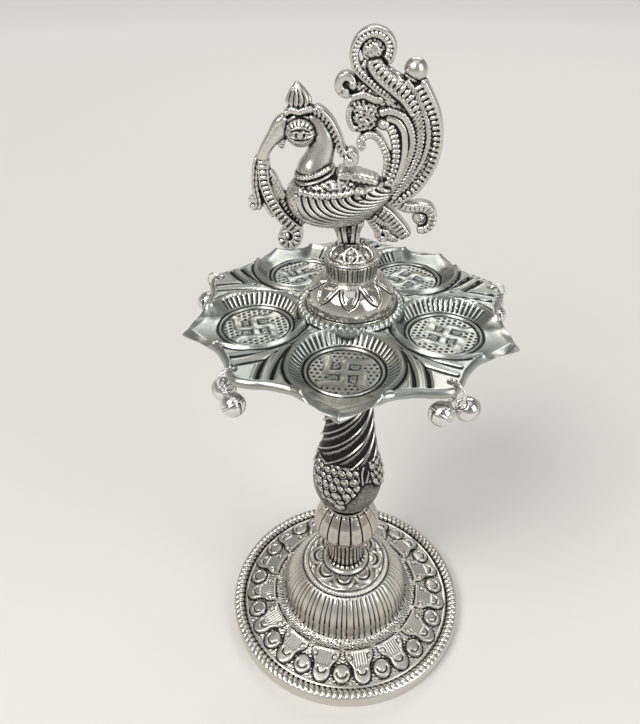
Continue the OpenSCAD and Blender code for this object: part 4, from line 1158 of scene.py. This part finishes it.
def make_camera():
    data = bpy.data.cameras.new("camera")
    data.sensor_width = SENSOR_MM
    data.sensor_fit = "AUTO"
    data.lens = FOCAL_PX * SENSOR_MM / LONG_SIDE_PX
    data.clip_start = 0.01
    data.clip_end = 50
    camera = bpy.data.objects.new("camera", data)
    bpy.context.scene.collection.objects.link(camera)
    turn = Matrix.Rotation(CAMERA_YAW, 4, "Z") @ Matrix.Rotation(PI / 2 - CAMERA_PITCH, 4, "X")
    turn = turn @ Matrix.Rotation(CAMERA_ROLL, 4, "Z")
    camera.matrix_world = Matrix.Translation(Vector(CAMERA_AT) * MM) @ turn
    bpy.context.scene.camera = camera


make_camera()


# Stage and light

STAGE_HALF = 6000


def add_ramp(tree, value, end, first, last):
    """Colours from first to last while the value goes from 0 to end."""
    ramp = add_node(tree, "ValToRGB", {"Fac": value})
    for stop, position, colour in zip(ramp.color_ramp.elements, (0.0, end), (first, last)):
        stop.position = position
        stop.color = (*colour, 1)
    return ramp.outputs["Color"]


def make_stage():
    corners = [(STAGE_HALF * x, STAGE_HALF * y, 0) for x, y in ((-1, -1), (1, -1), (1, 1), (-1, 1))]
    floor = make_piece("floor", corners, np.array([[0, 1, 2, 3]]))
    material = bpy.data.materials.new("floor_paper")
    material.use_nodes = True
    tree = material.node_tree
    shader = tree.nodes["Principled BSDF"]
    shader.inputs["Roughness"].default_value = 0.8
    noise = add_node(tree, "TexNoise", {"Scale": 3}).outputs["Fac"]
    paper = add_ramp(tree, noise, 1.0, (0.70, 0.685, 0.66), (0.74, 0.725, 0.70))
    # The paper keeps its brightness away from the lights
    place = add_node(tree, "TexCoord").outputs["Object"]
    away = add_node(tree, "VectorMath", {0: place}, operation="LENGTH").outputs["Value"]
    glow = add_node(tree, "MapRange", dict(enumerate((away, 0.25, 1.3, 0.0, 0.55)))).outputs["Result"]
    for name, value in (("Base Color", paper), ("Emission Color", paper), ("Emission Strength", glow)):
        tree.links.new(value, shader.inputs[name])
    floor.data.materials.append(material)

    world = bpy.data.worlds.new("studio")
    bpy.context.scene.world = world
    world.use_nodes = True
    tree = world.node_tree
    place = add_node(tree, "TexCoord").outputs["Generated"]
    height = add_node(tree, "SeparateXYZ", {0: place}).outputs["Z"]
    sky = add_ramp(tree, height, 0.55, (0.56, 0.54, 0.51), (0.24, 0.243, 0.247))
    tree.links.new(sky, tree.nodes["Background"].inputs["Color"])

    def soft_box(name, place, size, watts, colour):
        data = bpy.data.lights.new(name, "AREA")
        data.shape = "RECTANGLE"
        data.size, data.size_y = size
        data.energy = watts
        data.color = colour
        light = bpy.data.objects.new(name, data)
        bpy.context.scene.collection.objects.link(light)
        aim = Vector((0, 0, 0.12)) - Vector(place)
        light.matrix_world = Matrix.Translation(place) @ aim.to_track_quat("-Z", "Y").to_matrix().to_4x4()

    soft_box("key", (-0.45, -0.55, 0.95), (0.5, 0.5), 9.0, (1.0, 0.97, 0.93))
    soft_box("fill", (0.7, -0.45, 0.6), (0.5, 0.7), 3.5, (0.95, 0.98, 1.0))
    soft_box("top", (0.0, -0.1, 1.5), (1.2, 0.9), 2.4, (0.97, 1.0, 0.99))
    soft_box("back", (0.1, 0.8, 0.9), (0.8, 0.4), 3.2, (1.0, 0.98, 0.95))


make_stage()
bpy.context.scene.view_settings.view_transform = "Standard"
